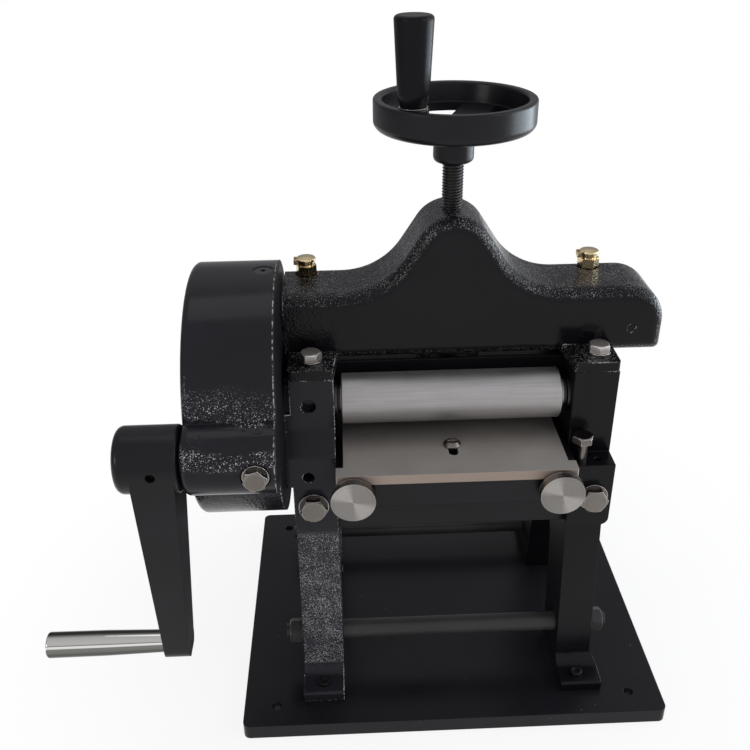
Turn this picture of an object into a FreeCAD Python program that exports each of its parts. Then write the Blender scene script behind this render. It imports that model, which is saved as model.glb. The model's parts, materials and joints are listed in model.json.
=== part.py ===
import FreeCAD, Part
import math
import os

# Leather splitting machine, hand cranked. Millimetres, +Z up, +X to the right, operator at -Y.
# The origin is the middle of the base plate's underside.

# Base plate
base_width = 310.0
base_depth = 245.0
base_thick = 12.0
base_corner = 5.0
base_hole_x = 131.0
base_hole_front = -104.5
base_hole_rear = 101.5
base_hole_r = 3.5

# Clearances between pieces
run_fit = 0.05
slide_fit = 0.2
seat_fit = 0.1
end_play = 0.25

# Upper roller
roller_y = -32.0
roller_z = 232.0
roller_shift = -1.0
roller_r = 17.5
roller_length = 150.0
journal_r = 8.0
shoulder_r = 10.5
bush_wall = 2.0
flange_thick = 2.0
flange_r = 13.0

# Side frames
frame_inner = 81.0
frame_thick = 30.0
left_leg_thick = 29.5
right_leg_thick = 25.5
head_front = -49.0
head_rear = 58.0
head_top = 256.0
boss_front = -66.0
boss_bottom = 140.5
boss_corner = 6.0
ledge_z = 192.0
shoulder_low_z = 206.0
shoulder_high_z = 217.5
ankle_y = 79.0
flare_top_z = 29.0
ankle_round = 9.0
toe_y = 101.5
toe_height = 8.0
hip_y = 64.0
waist_z = 190.0
window_foot = 38.0
window_top = 26.0
window_top_z = 118.0
window_corner = 20.0
toe_outer = 111.0
pad_low_z = 182.0
pad_high_z = 230.0

# Foot screws
foot_screw_y = 92.0
foot_screw_r = 2.5
foot_head_r = 4.25
foot_head_h = 3.0
foot_seat = 8.0

# Tie rods
front_rod_r = 7.0
rear_rod_r = 6.0
rod_thread_r = 5.0
front_rod_y = -64.0
front_rod_z = 47.1
rear_rod_y = 68.0
rear_rod_z = 34.5
rod_nut_flats = 16.0
rod_nut_thick = 8.4
rod_washer_r = 9.0
rod_washer_thick = 1.8
rod_end = 2.5

# Bridge casting
bridge_front = -22.0
bridge_rear = 33.0
bridge_left = -113.5
bridge_right = 147.0
bridge_flat_z = 303.5
bridge_peak_z = 355.3
crown_r = 26.0
crown_slope = 57.0
valley_r = 50.0
bridge_end_r = 26.0
bridge_foot_r = 4.0
bridge_edge_r = 9.0
lug_height = 7.4
lug_spread = 3.0
lug_bolt_inset = 14.8
lug_bolt_x = 97.6
lug_bolt_shift = 1.9

# Fasteners: across flats, head height, shank radius
m10_flats, m10_head, m10_r = 17.0, 6.4, 5.0
m8_flats, m8_head, m8_r = 13.0, 5.3, 4.0
m10_washer_r, m8_washer_r, washer_thick = 10.5, 8.0, 1.6
front_bolt_x = 97.5
front_bolt_z = 166.0
front_bolt_length = 28.0
lug_bolt_reach = 12.0
ledge_bolt_x = 88.5
ledge_bolt_y = -57.5
ledge_bolt_stand = 15.0
ledge_bolt_depth = 6.5

# Small holes on the front
pin_hole_r = 5.0
pin_hole_x = 98.5
shoulder_hole_x = 100.0
pin_hole_z = 236.0
pin_hole_depth = 6.0
shoulder_hole_r = 4.0
ledge_hole_r = 2.3
shoulder_hole_z = 190.0
ledge_hole_x = 100.5
ledge_hole_y = -58.2
small_hole_depth = 10.0
dimple_x = 124.0
dimple_z = 274.5
dimple_r = 3.0
dimple_depth = 1.2

# Table: bracket, plate, its screw and the thumb screws
table_z = 206.0
table_x = -1.1
table_thick = 7.0
table_front = -89.0
table_step = -78.5
table_rear = -14.0
table_bevel = 2.4
table_half = 80.0
table_narrow_half = 75.0
bar_front = -86.0
bar_depth = 28.0
bar_bottom = 179.0
shelf_thick = 8.0
shelf_rear = 6.0
rib_depth = 8.0
rib_bottom = 140.0
table_screw_y = -55.3
table_screw_r = 3.0
table_screw_head_r = 6.0
table_screw_head_h = 3.4
slot_front = -68.0
slot_half = 3.3
bracket_screw_r = 3.0
bracket_head_r = 5.0
bracket_head_h = 6.0
bracket_screw_y = -59.5
bracket_screw_z = 182.0
bracket_screw_bite = 14.0
knob_x = 69.0
knob_z = 190.5
knob_r = 14.85
knob_thick = 6.6
knob_gap = 1.0
knob_neck_r = 6.0
knob_screw_r = 3.0
knob_screw_reach = 18.0
knob_knurls = 60
knurl_depth = 0.35

# Blade carriage, blade and adjusting screw
screw_x = 1.4
screw_y = 6.0
screw_r = 7.0
screw_pitch = 2.0
thread_depth = 1.0
screw_collar_r = 11.0
screw_collar_h = 5.0
nut_wall = 5.0
nut_length = 40.0
nut_flange_r = 16.0
nut_flange_h = 3.0
carriage_bottom = 210.2
carriage_height = 34.8
carriage_front = -13.0
carriage_rear = 22.0
carriage_drop = 1.5
carriage_lip_z = 250.6
carriage_lip_thick = 3.8
tongue_depth = 6.0
tongue_half = 8.0
retainer_thick = 4.0
retainer_half_x = 22.0
retainer_half_y = 14.0
retainer_screw_r = 2.0
retainer_head_r = 3.5
retainer_head_h = 2.2
retainer_screw_x = 17.0
retainer_screw_y = 9.0
blade_thick = 2.0
blade_edge_y = -26.5
blade_rear_y = 18.0
blade_bevel = 6.0
blade_edge_thick = 0.2
blade_half = 74.0
clamp_front = -3.0
clamp_rear = 18.0
clamp_thick = 5.0
blade_screw_r = 2.5
blade_screw_y = 10.5
blade_screw_head_r = 4.25
blade_screw_head_h = 3.0
blade_screw_count = 5
blade_screw_span = 120.0
blade_screw_bite = 12.0

# Handwheel and its handle
wheel_r = 51.8
wheel_top_z = 426.3
rim_height = 19.1
rim_width = 5.6
rim_round = 1.4
rim_draft = 2.2
rim_inner_drop = 14.5
skirt_round = 5.2
hub_r = 13.2
hub_bottom_z = 385.6
hub_height = 21.0
web_thick = 5.0
spoke_angles = (60.0, 219.9, 335.0)
window_inner_r = 17.0
spoke_width = 23.0
wheel_pin_r = 2.0
wheel_pin_z = 391.5
screw_cap_r = 8.5
screw_cap_h = 3.0
handle_radius_at = 37.0
handle_angle = 220.5
handle_top_r = 12.0
handle_knee_r = 9.8
handle_knee_h = 6.5
handle_foot_r = 8.1
handle_pad_r = 9.6
handle_pad_z = 424.5
handle_top_z = 478.0
handle_collar_h = 1.6
handle_collar_r = 8.9
spindle_r = 4.0
spindle_head_r = 6.5
spindle_head_h = 2.5

# Oil cups
cup_x = 99.75
cup_shift = 1.75
cup_y = 21.5
cup_flats = 13.0
cup_hex_h = 8.5
cup_body_r = 5.6
cup_body_h = 3.0
cup_lid_h = 2.6
cup_lid_r = 6.8
cup_stem_r = 3.0
cup_stem = 8.0
cup_bore_r = 2.2
lid_pin_r = 0.9
lid_pin_out = 8.6
cup_turn = 90.0

# Gears
gear_module = 2.0
pinion_teeth = 14
gear_teeth = 66
gear_width = 16.0
tooth_shift = 0.3
tooth_head = 0.85
tooth_root = 1.2
backlash = 0.16
pressure_angle = 20.0
crank_rise = 6.2
flank_points = 5
gear_hub_r = 16.0
gear_rim = 9.0
gear_web = 8.0
gear_seat_r = 7.0
key_half = 2.5
key_rise = 2.2
key_length = 14.0
end_washer_r = 11.0
end_washer_thick = 1.8
end_screw_r = 3.0
end_screw_reach = 14.0
end_screw_head_r = 5.0
end_screw_head_h = 3.2

# Gear case
case_gap = 4.0
case_plate = 21.0
gear_side_gap = 6.0
case_wall = 7.0
drum_y = -28.0
drum_z = 242.0
drum_r = 85.5
drum_shell = 5.0
case_round = 4.5
nose_r = 23.0
nose_shell = 5.0
case_foot_r = 8.0
shaft_boss_r = 15.0
case_screw_r = 3.0
case_screw_head_r = 5.2
case_screw_head_h = 6.0
case_screw_bite = 14.0
case_screw_places = ((12.0, 240.0), (12.0, 200.0), (-38.0, 176.0))
rim_screw_x = -123.5
rim_screw_r = 3.0
rim_screw_head_r = 6.5
rim_screw_reach = 15.0
nose_bolt_x = -127.0
nose_bolt_reach = 7.0

# Crank
crank_shaft_r = 7.0
crank_bush_wall = 2.0
crank_flange = 1.4
crank_flange_r = 14.0
crank_hub_r = 20.9
crank_hub_length = 39.0
crank_hub_round = 5.0
crank_radius = 151.0
arm_end_r = 11.0
arm_outer_step = 9.7
arm_lean = -0.75
arm_top_thick = 27.0
arm_end_thick = 17.0
set_screw_r = 3.0
set_screw_depth = 9.0
set_screw_offset = 3.5
shaft_short = 4.0
pinion_hub_r = 10.5
grip_length = 80.1
grip_outer_r = 8.8
grip_inner_r = 7.6
grip_bore_r = 4.0
grip_head_r = 6.2
grip_head_h = 3.0
blind_bore_floor = 6.0

# Places worked out from the sizes above
frame_outer = frame_inner + frame_thick
gear_distance = gear_module * (gear_teeth + pinion_teeth) / 2.0
crank_y = roller_y - gear_distance * math.cos(math.radians(crank_rise))
crank_z = roller_z + gear_distance * math.sin(math.radians(crank_rise))
case_right = -frame_outer - case_gap
case_inner = case_right - case_plate
gear_right = case_inner - gear_side_gap
gear_left = gear_right - gear_width
case_wall_x = gear_left - gear_side_gap - end_play
case_left = case_wall_x - case_wall
hub_right = case_left - crank_flange - end_play
hub_left = hub_right - crank_hub_length
arm_left = hub_left + arm_outer_step
arm_tip_left = arm_left - arm_lean
grip_right = arm_tip_left - end_play
grip_left = grip_right - grip_length
grip_z = crank_z - crank_radius
bush_r = journal_r + run_fit + bush_wall
crank_bush_r = crank_shaft_r + run_fit + crank_bush_wall
roller_half = roller_length / 2.0
table_bottom = table_z - table_thick
bar_rear = bar_front + bar_depth
lug_top = head_top + lug_height
lug_bolt_y = (head_front + lug_bolt_inset, head_rear - lug_bolt_inset)
web_z = hub_bottom_z + hub_height - web_thick
rim_bottom_z = wheel_top_z - rim_height
handle_pad_low_z = rim_bottom_z + 1.5
rim_inner_r = wheel_r - rim_width - rim_draft
rim_inner_z = wheel_top_z - rim_inner_drop
handle_x = screw_x + handle_radius_at * math.cos(math.radians(handle_angle))
handle_y = screw_y + handle_radius_at * math.sin(math.radians(handle_angle))
retainer_top = carriage_bottom + carriage_height + retainer_thick


def box(x0, x1, y0, y1, z0, z1):
    low = FreeCAD.Vector(min(x0, x1), min(y0, y1), min(z0, z1))
    return Part.makeBox(abs(x1 - x0), abs(y1 - y0), abs(z1 - z0), low)


def rod_x(x0, x1, y, z, r):
    start = FreeCAD.Vector(min(x0, x1), y, z)
    return Part.makeCylinder(r, abs(x1 - x0), start, FreeCAD.Vector(1, 0, 0))


def rod_y(y0, y1, x, z, r):
    start = FreeCAD.Vector(x, min(y0, y1), z)
    return Part.makeCylinder(r, abs(y1 - y0), start, FreeCAD.Vector(0, 1, 0))


def rod_z(z0, z1, x, y, r):
    start = FreeCAD.Vector(x, y, min(z0, z1))
    return Part.makeCylinder(r, abs(z1 - z0), start, FreeCAD.Vector(0, 0, 1))


def to_space(plane, u, v):
    if plane == "yz":
        return FreeCAD.Vector(0, u, v)
    if plane == "xz":
        return FreeCAD.Vector(u, 0, v)
    return FreeCAD.Vector(u, v, 0)


def outline(plane, corners):
    # A corner is (u, v) or (u, v, r), where r rounds it with a tangent arc.
    count = len(corners)
    starts, ends, middles = [], [], []
    for i, corner in enumerate(corners):
        u, v = corner[0], corner[1]
        r = corner[2] if len(corner) > 2 else 0.0
        if r <= 0:
            starts.append((u, v))
            ends.append((u, v))
            middles.append(None)
            continue
        pu, pv = corners[i - 1][0], corners[i - 1][1]
        nu, nv = corners[(i + 1) % count][0], corners[(i + 1) % count][1]
        back = math.hypot(pu - u, pv - v)
        ahead = math.hypot(nu - u, nv - v)
        bu, bv = (pu - u) / back, (pv - v) / back
        au, av = (nu - u) / ahead, (nv - v) / ahead
        half = math.acos(max(-1.0, min(1.0, bu * au + bv * av))) / 2.0
        leg = r / math.tan(half)
        mu, mv = bu + au, bv + av
        size = math.hypot(mu, mv)
        reach = r / math.sin(half)
        centre_u, centre_v = u + mu / size * reach, v + mv / size * reach
        starts.append((u + bu * leg, v + bv * leg))
        ends.append((u + au * leg, v + av * leg))
        middles.append((centre_u - mu / size * r, centre_v - mv / size * r))
    edges = []
    for i in range(count):
        if middles[i] is not None:
            points = [to_space(plane, *p) for p in (starts[i], middles[i], ends[i])]
            edges.append(Part.Arc(*points).toShape())
        a = to_space(plane, *ends[i])
        b = to_space(plane, *starts[(i + 1) % count])
        if (a - b).Length > 1e-6:
            edges.append(Part.LineSegment(a, b).toShape())
    return Part.Face(Part.Wire(edges))


def prism(plane, corners, low, high):
    face = outline(plane, corners)
    along = {"yz": (1, 0, 0), "xz": (0, 1, 0), "xy": (0, 0, 1)}[plane]
    face.translate(FreeCAD.Vector(*along) * low)
    return face.extrude(FreeCAD.Vector(*along) * (high - low))


def turned_z(profile, x, y):
    # profile holds (radius, z) corners, each with an optional rounding.
    face = outline("xz", profile)
    solid = face.revolve(FreeCAD.Vector(0, 0, 0), FreeCAD.Vector(0, 0, 1), 360)
    solid.translate(FreeCAD.Vector(x, y, 0))
    return solid


def turned_x(profile, y, z):
    # profile holds (x, radius) corners, each with an optional rounding.
    face = outline("xz", profile)
    solid = face.revolve(FreeCAD.Vector(0, 0, 0), FreeCAD.Vector(1, 0, 0), 360)
    solid.translate(FreeCAD.Vector(0, y, z))
    return solid


def turned_y(profile, x, z):
    # profile holds (y, radius) corners, each with an optional rounding.
    face = outline("yz", profile)
    solid = face.revolve(FreeCAD.Vector(0, 0, 0), FreeCAD.Vector(0, 1, 0), 360)
    solid.translate(FreeCAD.Vector(x, 0, z))
    return solid


def hexagon(plane, u, v, flats, turn=0.0):
    reach = flats / math.sqrt(3.0)
    steps = [math.radians(60 * i + turn) for i in range(6)]
    return [(u + reach * math.cos(a), v + reach * math.sin(a)) for a in steps]


def hex_head(plane, u, v, flats, low, high, turn=0.0, top_is_high=True):
    # A hexagon head or nut whose free face is turned to a chamfer.
    body = prism(plane, hexagon(plane, u, v, flats, turn), low, high)
    reach = flats / math.sqrt(3.0)
    rise = 0.075 * flats
    free, inner = (high, high - rise) if top_is_high else (low, low + rise)
    seat = low if top_is_high else high
    profile = [(0, seat), (reach * 1.02, seat), (reach * 1.02, inner), (flats * 0.46, free), (0, free)]
    if plane == "xy":
        cap = turned_z(profile, u, v)
    elif plane == "xz":
        cap = turned_y([(z, r) for r, z in profile], u, v)
    else:
        cap = turned_x([(z, r) for r, z in profile], u, v)
    return body.common(cap)


def joined(first, *others):
    solid = first
    for other in others:
        solid = solid.fuse(other)
    return solid.removeSplitter()


def minus(solid, *others):
    for other in others:
        solid = solid.cut(other)
    return solid


def mirrored(shape):
    return shape.mirror(FreeCAD.Vector(0, 0, 0), FreeCAD.Vector(1, 0, 0))


def save(name, *solids):
    pieces = []
    for solid in solids:
        pieces.extend(solid.Solids)
    for piece in pieces:
        if not piece.isValid() or piece.Volume <= 0:
            raise ValueError("bad solid in " + name)
    shape = pieces[0] if len(pieces) == 1 else Part.makeCompound(pieces)
    shape.exportStep("parts/" + name + ".step")
    print(name, len(pieces), round(sum(p.Volume for p in pieces) / 1000.0, 2))


def base_plate():
    w, d, r = base_width / 2, base_depth / 2, base_corner
    plate = prism("xy", [(-w, -d, r), (w, -d, r), (w, d, r), (-w, d, r)], 0, base_thick)
    for sx in (-1, 1):
        for y in (base_hole_front, base_hole_rear):
            plate = plate.cut(rod_z(0, base_thick, sx * base_hole_x, y, base_hole_r))
        for y in (-foot_screw_y, foot_screw_y):
            plate = plate.cut(rod_z(0, base_thick, foot_screw_x(sx), y, foot_screw_r))
    return plate


def lug_bolt_at(sign):
    # The bridge and its bolts sit a little to the right of the frames.
    return lug_bolt_shift + sign * lug_bolt_x


def leg_outer(sign):
    return frame_inner + (left_leg_thick if sign < 0 else right_leg_thick)


def foot_screw_x(sign):
    return sign * (frame_inner + leg_outer(sign)) / 2.0


def foot_seat_z():
    return base_thick + foot_seat


def foot_screws():
    screws = []
    for sx in (-1, 1):
        for sy in (-1, 1):
            x, y = foot_screw_x(sx), sy * foot_screw_y
            seat = foot_seat_z()
            shank = rod_z(base_thick / 4.0, seat, x, y, foot_screw_r)
            head = rod_z(seat, seat + foot_head_h, x, y, foot_head_r)
            socket = prism("xy", hexagon("xy", x, y, foot_head_r), seat + foot_head_h / 2,
                seat + foot_head_h)
            screws.append(joined(shank, head).cut(socket))
    return screws


def frame_side_outline(sign):
    # The front of the left frame slopes from head to boss; the right one has a flat ledge there.
    if sign < 0:
        front = [(head_front, shoulder_high_z, 3), (boss_front, shoulder_low_z, 3)]
    else:
        front = [(head_front, ledge_z), (boss_front, ledge_z)]
    low = base_thick
    legs = [
        (boss_front, boss_bottom, 14), (-ankle_y, low + toe_height, ankle_round), (-toe_y,
            low + toe_height, 2), (-toe_y, low),
        (-window_foot, low), (-window_top, window_top_z, window_corner),
        (window_top, window_top_z, window_corner), (window_foot, low),
        (toe_y, low), (toe_y, low + toe_height, 2), (ankle_y, low + toe_height, ankle_round), (hip_y,
            boss_bottom, 14),
    ]
    return [(head_rear, head_top)] + [(head_front, head_top)] + front + legs + [(head_rear, waist_z, 14)]


def side_frame(sign):
    body = prism("yz", frame_side_outline(sign), frame_inner, leg_outer(sign))
    cheek = prism("xz", [
        (frame_inner, head_top), (frame_outer, head_top),
        (frame_outer, boss_bottom, boss_corner), (frame_inner, boss_bottom)], boss_front, head_rear)
    reach = prism("yz", frame_side_outline(sign), frame_inner, frame_outer)
    frame = joined(body, cheek.common(reach), toe_flares(sign, reach))
    if sign < 0:
        frame = joined(frame, case_pad())
    frame = minus(frame, *frame_holes(sign))
    return mirrored(frame) if sign < 0 else frame


def toe_flares(sign, reach):
    # Each toe spreads outwards a little towards the base.
    outer = leg_outer(sign)
    wedge = prism("xz", [
        (outer - 1, base_thick), (toe_outer, base_thick), (toe_outer, base_thick + toe_height),
        (outer, flare_top_z), (outer - 1, flare_top_z)], -toe_y, toe_y)
    return wedge.common(reach)


def case_pad():
    # The left boss stands out to meet the gear case.
    pad = prism("yz", frame_side_outline(-1), frame_outer, frame_outer + case_gap)
    return pad.common(box(frame_outer, frame_outer + case_gap, boss_front, head_rear, pad_low_z,
        pad_high_z))


def frame_holes(sign):
    inner, outer = frame_inner - 1, frame_outer + case_gap + 1
    cuts = [
        rod_x(inner, outer, roller_y, roller_z, bush_r),
        rod_x(inner, outer, front_rod_y, front_rod_z, rod_thread_r),
        rod_x(inner, outer, rear_rod_y, rear_rod_z, rod_thread_r),
        rod_x(inner, outer, bracket_screw_y, bracket_screw_z, bracket_screw_r),
        rod_x(frame_outer - bracket_head_h, outer, bracket_screw_y, bracket_screw_z,
            bracket_head_r + seat_fit),
        rod_y(boss_front - 1, boss_front + front_bolt_length, front_bolt_x, front_bolt_z, m10_r),
        box(frame_inner - 1, frame_inner + tongue_depth + slide_fit,
            screw_y - tongue_half - slide_fit, screw_y + tongue_half + slide_fit,
            carriage_bottom - carriage_drop - 2, head_top + 1),
    ]
    for y, z, r in rod_places():
        cuts.append(rod_x(leg_outer(sign), outer, y, z, rod_washer_r + seat_fit))
    for y in lug_bolt_y:
        cuts.append(rod_z(head_top - lug_bolt_reach - 1, head_top + 1, abs(lug_bolt_at(sign)), y, m8_r))
    for sy in (-1, 1):
        x, y, seat = abs(foot_screw_x(sign)), sy * foot_screw_y, foot_seat_z()
        cuts.append(rod_z(base_thick - 1, seat + 1, x, y, foot_screw_r))
        cuts.append(rod_z(seat, seat + 2 * foot_head_h, x, y, foot_head_r + slide_fit))
    if sign < 0:
        cuts.append(rod_y(head_front - 1, head_front + pin_hole_depth, pin_hole_x, pin_hole_z, pin_hole_r))
        cuts.append(rod_y(boss_front - 1, boss_front + small_hole_depth, shoulder_hole_x, shoulder_hole_z,
            shoulder_hole_r))
        for y, z in case_screw_places:
            cuts.append(rod_x(frame_outer - case_screw_bite, outer, y, z, case_screw_r))
    else:
        cuts.append(rod_z(ledge_z - small_hole_depth, ledge_z + 1, ledge_hole_x, ledge_hole_y,
            ledge_hole_r))
        cuts.append(rod_z(ledge_z - ledge_bolt_depth - 1, ledge_z + 1, ledge_bolt_x, ledge_bolt_y, m8_r))
    return cuts


def tie_rod(y, z, r):
    # The rod is turned down at both ends, so the frames clamp on its shoulders.
    past = rod_washer_thick + rod_nut_thick + rod_end
    ends = rod_x(-leg_outer(-1) - past, leg_outer(1) + past, y, z, rod_thread_r)
    return joined(rod_x(-frame_inner, frame_inner, y, z, r), ends)


def rod_places():
    return ((front_rod_y, front_rod_z, front_rod_r), (rear_rod_y, rear_rod_z, rear_rod_r))


def tie_rod_nuts():
    nuts = []
    for y, z, r in rod_places():
        for sign in (-1, 1):
            low = leg_outer(sign) + rod_washer_thick
            nut = hex_head("yz", y, z, rod_nut_flats, low, low + rod_nut_thick, 30)
            nut = nut.cut(rod_x(low - 1, low + rod_nut_thick + 1, y, z, rod_thread_r))
            nuts.append(mirrored(nut) if sign < 0 else nut)
    return nuts


def tie_rod_washers():
    rings = []
    for y, z, r in rod_places():
        for sign in (-1, 1):
            low = leg_outer(sign)
            ring = rod_x(low, low + rod_washer_thick, y, z, rod_washer_r)
            ring = ring.cut(rod_x(low - 1, low + rod_washer_thick + 1, y, z, rod_thread_r))
            rings.append(mirrored(ring) if sign < 0 else ring)
    return rings


def bridge_outline():
    # A bell rises from the flat top: crown arc, straight flanks and a hollow at each foot.
    slope = math.radians(crown_slope)
    crown_z = bridge_peak_z - crown_r
    flank_u, flank_v = crown_r * math.sin(slope), crown_z + crown_r * math.cos(slope)
    foot = flank_u + (flank_v - bridge_flat_z) / math.tan(slope)
    apex = flank_v + flank_u * math.tan(slope)
    return [
        (bridge_left, head_top), (bridge_right, head_top, bridge_foot_r),
        (bridge_right, bridge_flat_z, bridge_end_r), (screw_x + foot, bridge_flat_z, valley_r),
        (screw_x, apex, crown_r), (screw_x - foot, bridge_flat_z, valley_r), (bridge_left, bridge_flat_z)]


def bridge_body():
    body = prism("xz", bridge_outline(), bridge_front, bridge_rear)
    edges = []
    for edge in body.Edges:
        b = edge.BoundBox
        flat = abs(b.YMax - b.YMin) < 1e-6
        on_face = flat and min(abs(b.YMin - bridge_front), abs(b.YMin - bridge_rear)) < 1e-6
        if on_face and b.ZMax > head_top + bridge_foot_r + 1 and b.XMax > bridge_left + 1:
            edges.append(edge)
    return body.makeFillet(bridge_edge_r, edges)


def bridge():
    body = bridge_body()
    for sx in (-1, 1):
        lug = prism("xy", [
            (frame_inner, head_front, 2), (frame_outer, head_front, 2), (frame_outer, head_rear, 2),
            (frame_inner, head_rear, 2), (frame_inner - lug_spread, bridge_rear),
            (frame_inner - lug_spread, bridge_front)], head_top, lug_top)
        body = body.fuse(mirrored(lug) if sx < 0 else lug)
        for y in lug_bolt_y:
            body = body.cut(rod_z(head_top - 1, lug_top + 1, lug_bolt_at(sx), y, m8_r))
            body = body.cut(rod_z(lug_top, lug_top + 12, lug_bolt_at(sx), y, m8_washer_r + 0.6))
        x = cup_shift + sx * cup_x
        body = body.cut(rod_z(bridge_flat_z - cup_stem, bridge_flat_z + 1, x, cup_y, cup_stem_r))
        body = body.cut(rod_z(bridge_flat_z - 1.5, bridge_flat_z + 1, x, cup_y, cup_flats * 0.62))
    nut_r = screw_r + run_fit + nut_wall
    body = minus(
        body,
        rod_z(head_top - 1, head_top + nut_length, screw_x, screw_y, nut_r),
        rod_z(head_top - 1, head_top + nut_flange_h, screw_x, screw_y, nut_flange_r),
        rod_z(head_top, bridge_peak_z + 1, screw_x, screw_y, screw_r + slide_fit),
        rod_y(bridge_front - 1, bridge_front + dimple_depth, dimple_x, dimple_z, dimple_r))
    return body.removeSplitter()


def screw_nut():
    nut_r = screw_r + run_fit + nut_wall
    sleeve = rod_z(head_top, head_top + nut_length, screw_x, screw_y, nut_r)
    flange = rod_z(head_top, head_top + nut_flange_h, screw_x, screw_y, nut_flange_r)
    bore = rod_z(head_top - 1, head_top + nut_length + 1, screw_x, screw_y, screw_r + run_fit)
    return joined(sleeve, flange).cut(bore)


def lug_places():
    return [(lug_bolt_at(sx), y) for sx in (-1, 1) for y in lug_bolt_y]


def bridge_bolts():
    bolts = []
    for turn, (x, y) in enumerate(lug_places()):
        seat = lug_top + washer_thick
        head = hex_head("xy", x, y, m8_flats, seat, seat + m8_head, 11 * turn)
        bolts.append(joined(head, rod_z(head_top - lug_bolt_reach, seat, x, y, m8_r)))
    return bolts


def bridge_washers():
    rings = []
    for x, y in lug_places():
        ring = rod_z(lug_top, lug_top + washer_thick, x, y, m8_washer_r)
        rings.append(ring.cut(rod_z(lug_top - 1, lug_top + washer_thick + 1, x, y, m8_r)))
    return rings


def front_bolts():
    bolts = []
    for sx in (-1, 1):
        seat = boss_front - washer_thick
        head = hex_head("xz", sx * front_bolt_x, front_bolt_z, m10_flats, seat - m10_head, seat, 0, False)
        shank = rod_y(seat, boss_front + front_bolt_length - 1, sx * front_bolt_x, front_bolt_z, m10_r)
        bolts.append(joined(head, shank))
    return bolts


def front_washers():
    rings = []
    for sx in (-1, 1):
        ring = rod_y(boss_front - washer_thick, boss_front, sx * front_bolt_x, front_bolt_z, m10_washer_r)
        rings.append(ring.cut(rod_y(boss_front - 5, boss_front + 1, sx * front_bolt_x, front_bolt_z,
            m10_r)))
    return rings


def ledge_bolt():
    seat = ledge_z + ledge_bolt_stand
    head = hex_head("xy", ledge_bolt_x, ledge_bolt_y, m8_flats, seat, seat + m8_head, 8)
    return joined(head, rod_z(ledge_z - ledge_bolt_depth, seat, ledge_bolt_x, ledge_bolt_y, m8_r))


def roller_bushes():
    sleeve = rod_x(frame_inner, frame_outer, roller_y, roller_z, bush_r)
    flange = rod_x(frame_inner - flange_thick, frame_inner, roller_y, roller_z, flange_r)
    bore = rod_x(frame_inner - 5, frame_outer + 1, roller_y, roller_z, journal_r + run_fit)
    bush = joined(sleeve, flange).cut(bore)
    return [bush, mirrored(bush)]


def upper_roller():
    shoulder = frame_inner - flange_thick - end_play
    seat_left = gear_right - gear_width
    solid = joined(
        turned_x([
            (roller_shift - roller_half, 0), (roller_shift - roller_half, roller_r, 0.8),
            (roller_shift + roller_half, roller_r, 0.8), (roller_shift + roller_half, 0)], roller_y,
            roller_z),
        rod_x(-shoulder, shoulder, roller_y, roller_z, shoulder_r),
        rod_x(gear_right, frame_outer - 2, roller_y, roller_z, journal_r),
        rod_x(seat_left, gear_right, roller_y, roller_z, gear_seat_r))
    return minus(
        solid,
        rod_x(seat_left - 1, seat_left + end_screw_reach, roller_y, roller_z, end_screw_r),
        gear_key_box())


def gear_key_box():
    middle = gear_right - gear_width / 2
    return box(middle - key_length / 2, middle + key_length / 2, roller_y - key_half, roller_y + key_half,
               roller_z + gear_seat_r - key_rise, roller_z + gear_seat_r + key_rise)


def involute(r_base, t):
    return (r_base * (math.cos(t) + t * math.sin(t)), r_base * (math.sin(t) - t * math.cos(t)))


def gear_blank(teeth, shift, phase, y, z, low, high):
    # Spur gear in the YZ plane; phase is the angle of the middle of one tooth.
    pitch_r = gear_module * teeth / 2.0
    alpha = math.radians(pressure_angle)
    base_r = pitch_r * math.cos(alpha)
    tip_r = pitch_r + gear_module * (tooth_head + shift)
    root_r = pitch_r - gear_module * (tooth_root - shift)
    width = gear_module * (math.pi / 2 + 2 * shift * math.tan(alpha)) - backlash
    half = width / (2 * pitch_r) + math.tan(alpha) - alpha
    start_r = max(base_r, root_r)
    t0 = math.sqrt(max(0.0, (start_r / base_r) ** 2 - 1))
    t1 = math.sqrt((tip_r / base_r) ** 2 - 1)
    flank = []
    if root_r < base_r:
        flank.append((root_r, half))
    for i in range(flank_points):
        u, v = involute(base_r, t0 + (t1 - t0) * i / (flank_points - 1))
        flank.append((math.hypot(u, v), half - math.atan2(v, u)))
    points = []
    for k in range(teeth):
        middle = phase + 2 * math.pi * k / teeth
        for r, a in flank:
            points.append((r, middle - a))
        for r, a in reversed(flank):
            points.append((r, middle + a))
    corners = [FreeCAD.Vector(low, y + r * math.cos(a), z + r * math.sin(a)) for r, a in points]
    face = Part.Face(Part.makePolygon(corners + [corners[0]]))
    return face.extrude(FreeCAD.Vector(high - low, 0, 0))


def mesh_angle():
    return math.atan2(crank_z - roller_z, crank_y - roller_y)


def roller_gear():
    phase = mesh_angle() + math.pi / gear_teeth
    disc = gear_blank(gear_teeth, -tooth_shift, phase, roller_y, roller_z, gear_left, gear_right)
    rim_r = gear_module * gear_teeth / 2.0 - gear_rim
    recess = (gear_width - gear_web) / 2.0
    for low, high in ((gear_left, gear_left + recess), (gear_right - recess, gear_right)):
        ring = rod_x(low, high, roller_y, roller_z, rim_r).cut(rod_x(low, high, roller_y, roller_z,
            gear_hub_r))
        disc = disc.cut(ring)
    return minus(disc, rod_x(gear_left - 1, gear_right + 1, roller_y, roller_z, gear_seat_r),
        gear_key_box())


def gear_end_washer():
    left = gear_left - end_washer_thick
    ring = rod_x(left, gear_left, roller_y, roller_z, end_washer_r)
    return ring.cut(rod_x(left - 1, gear_left + 1, roller_y, roller_z, end_screw_r))


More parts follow.
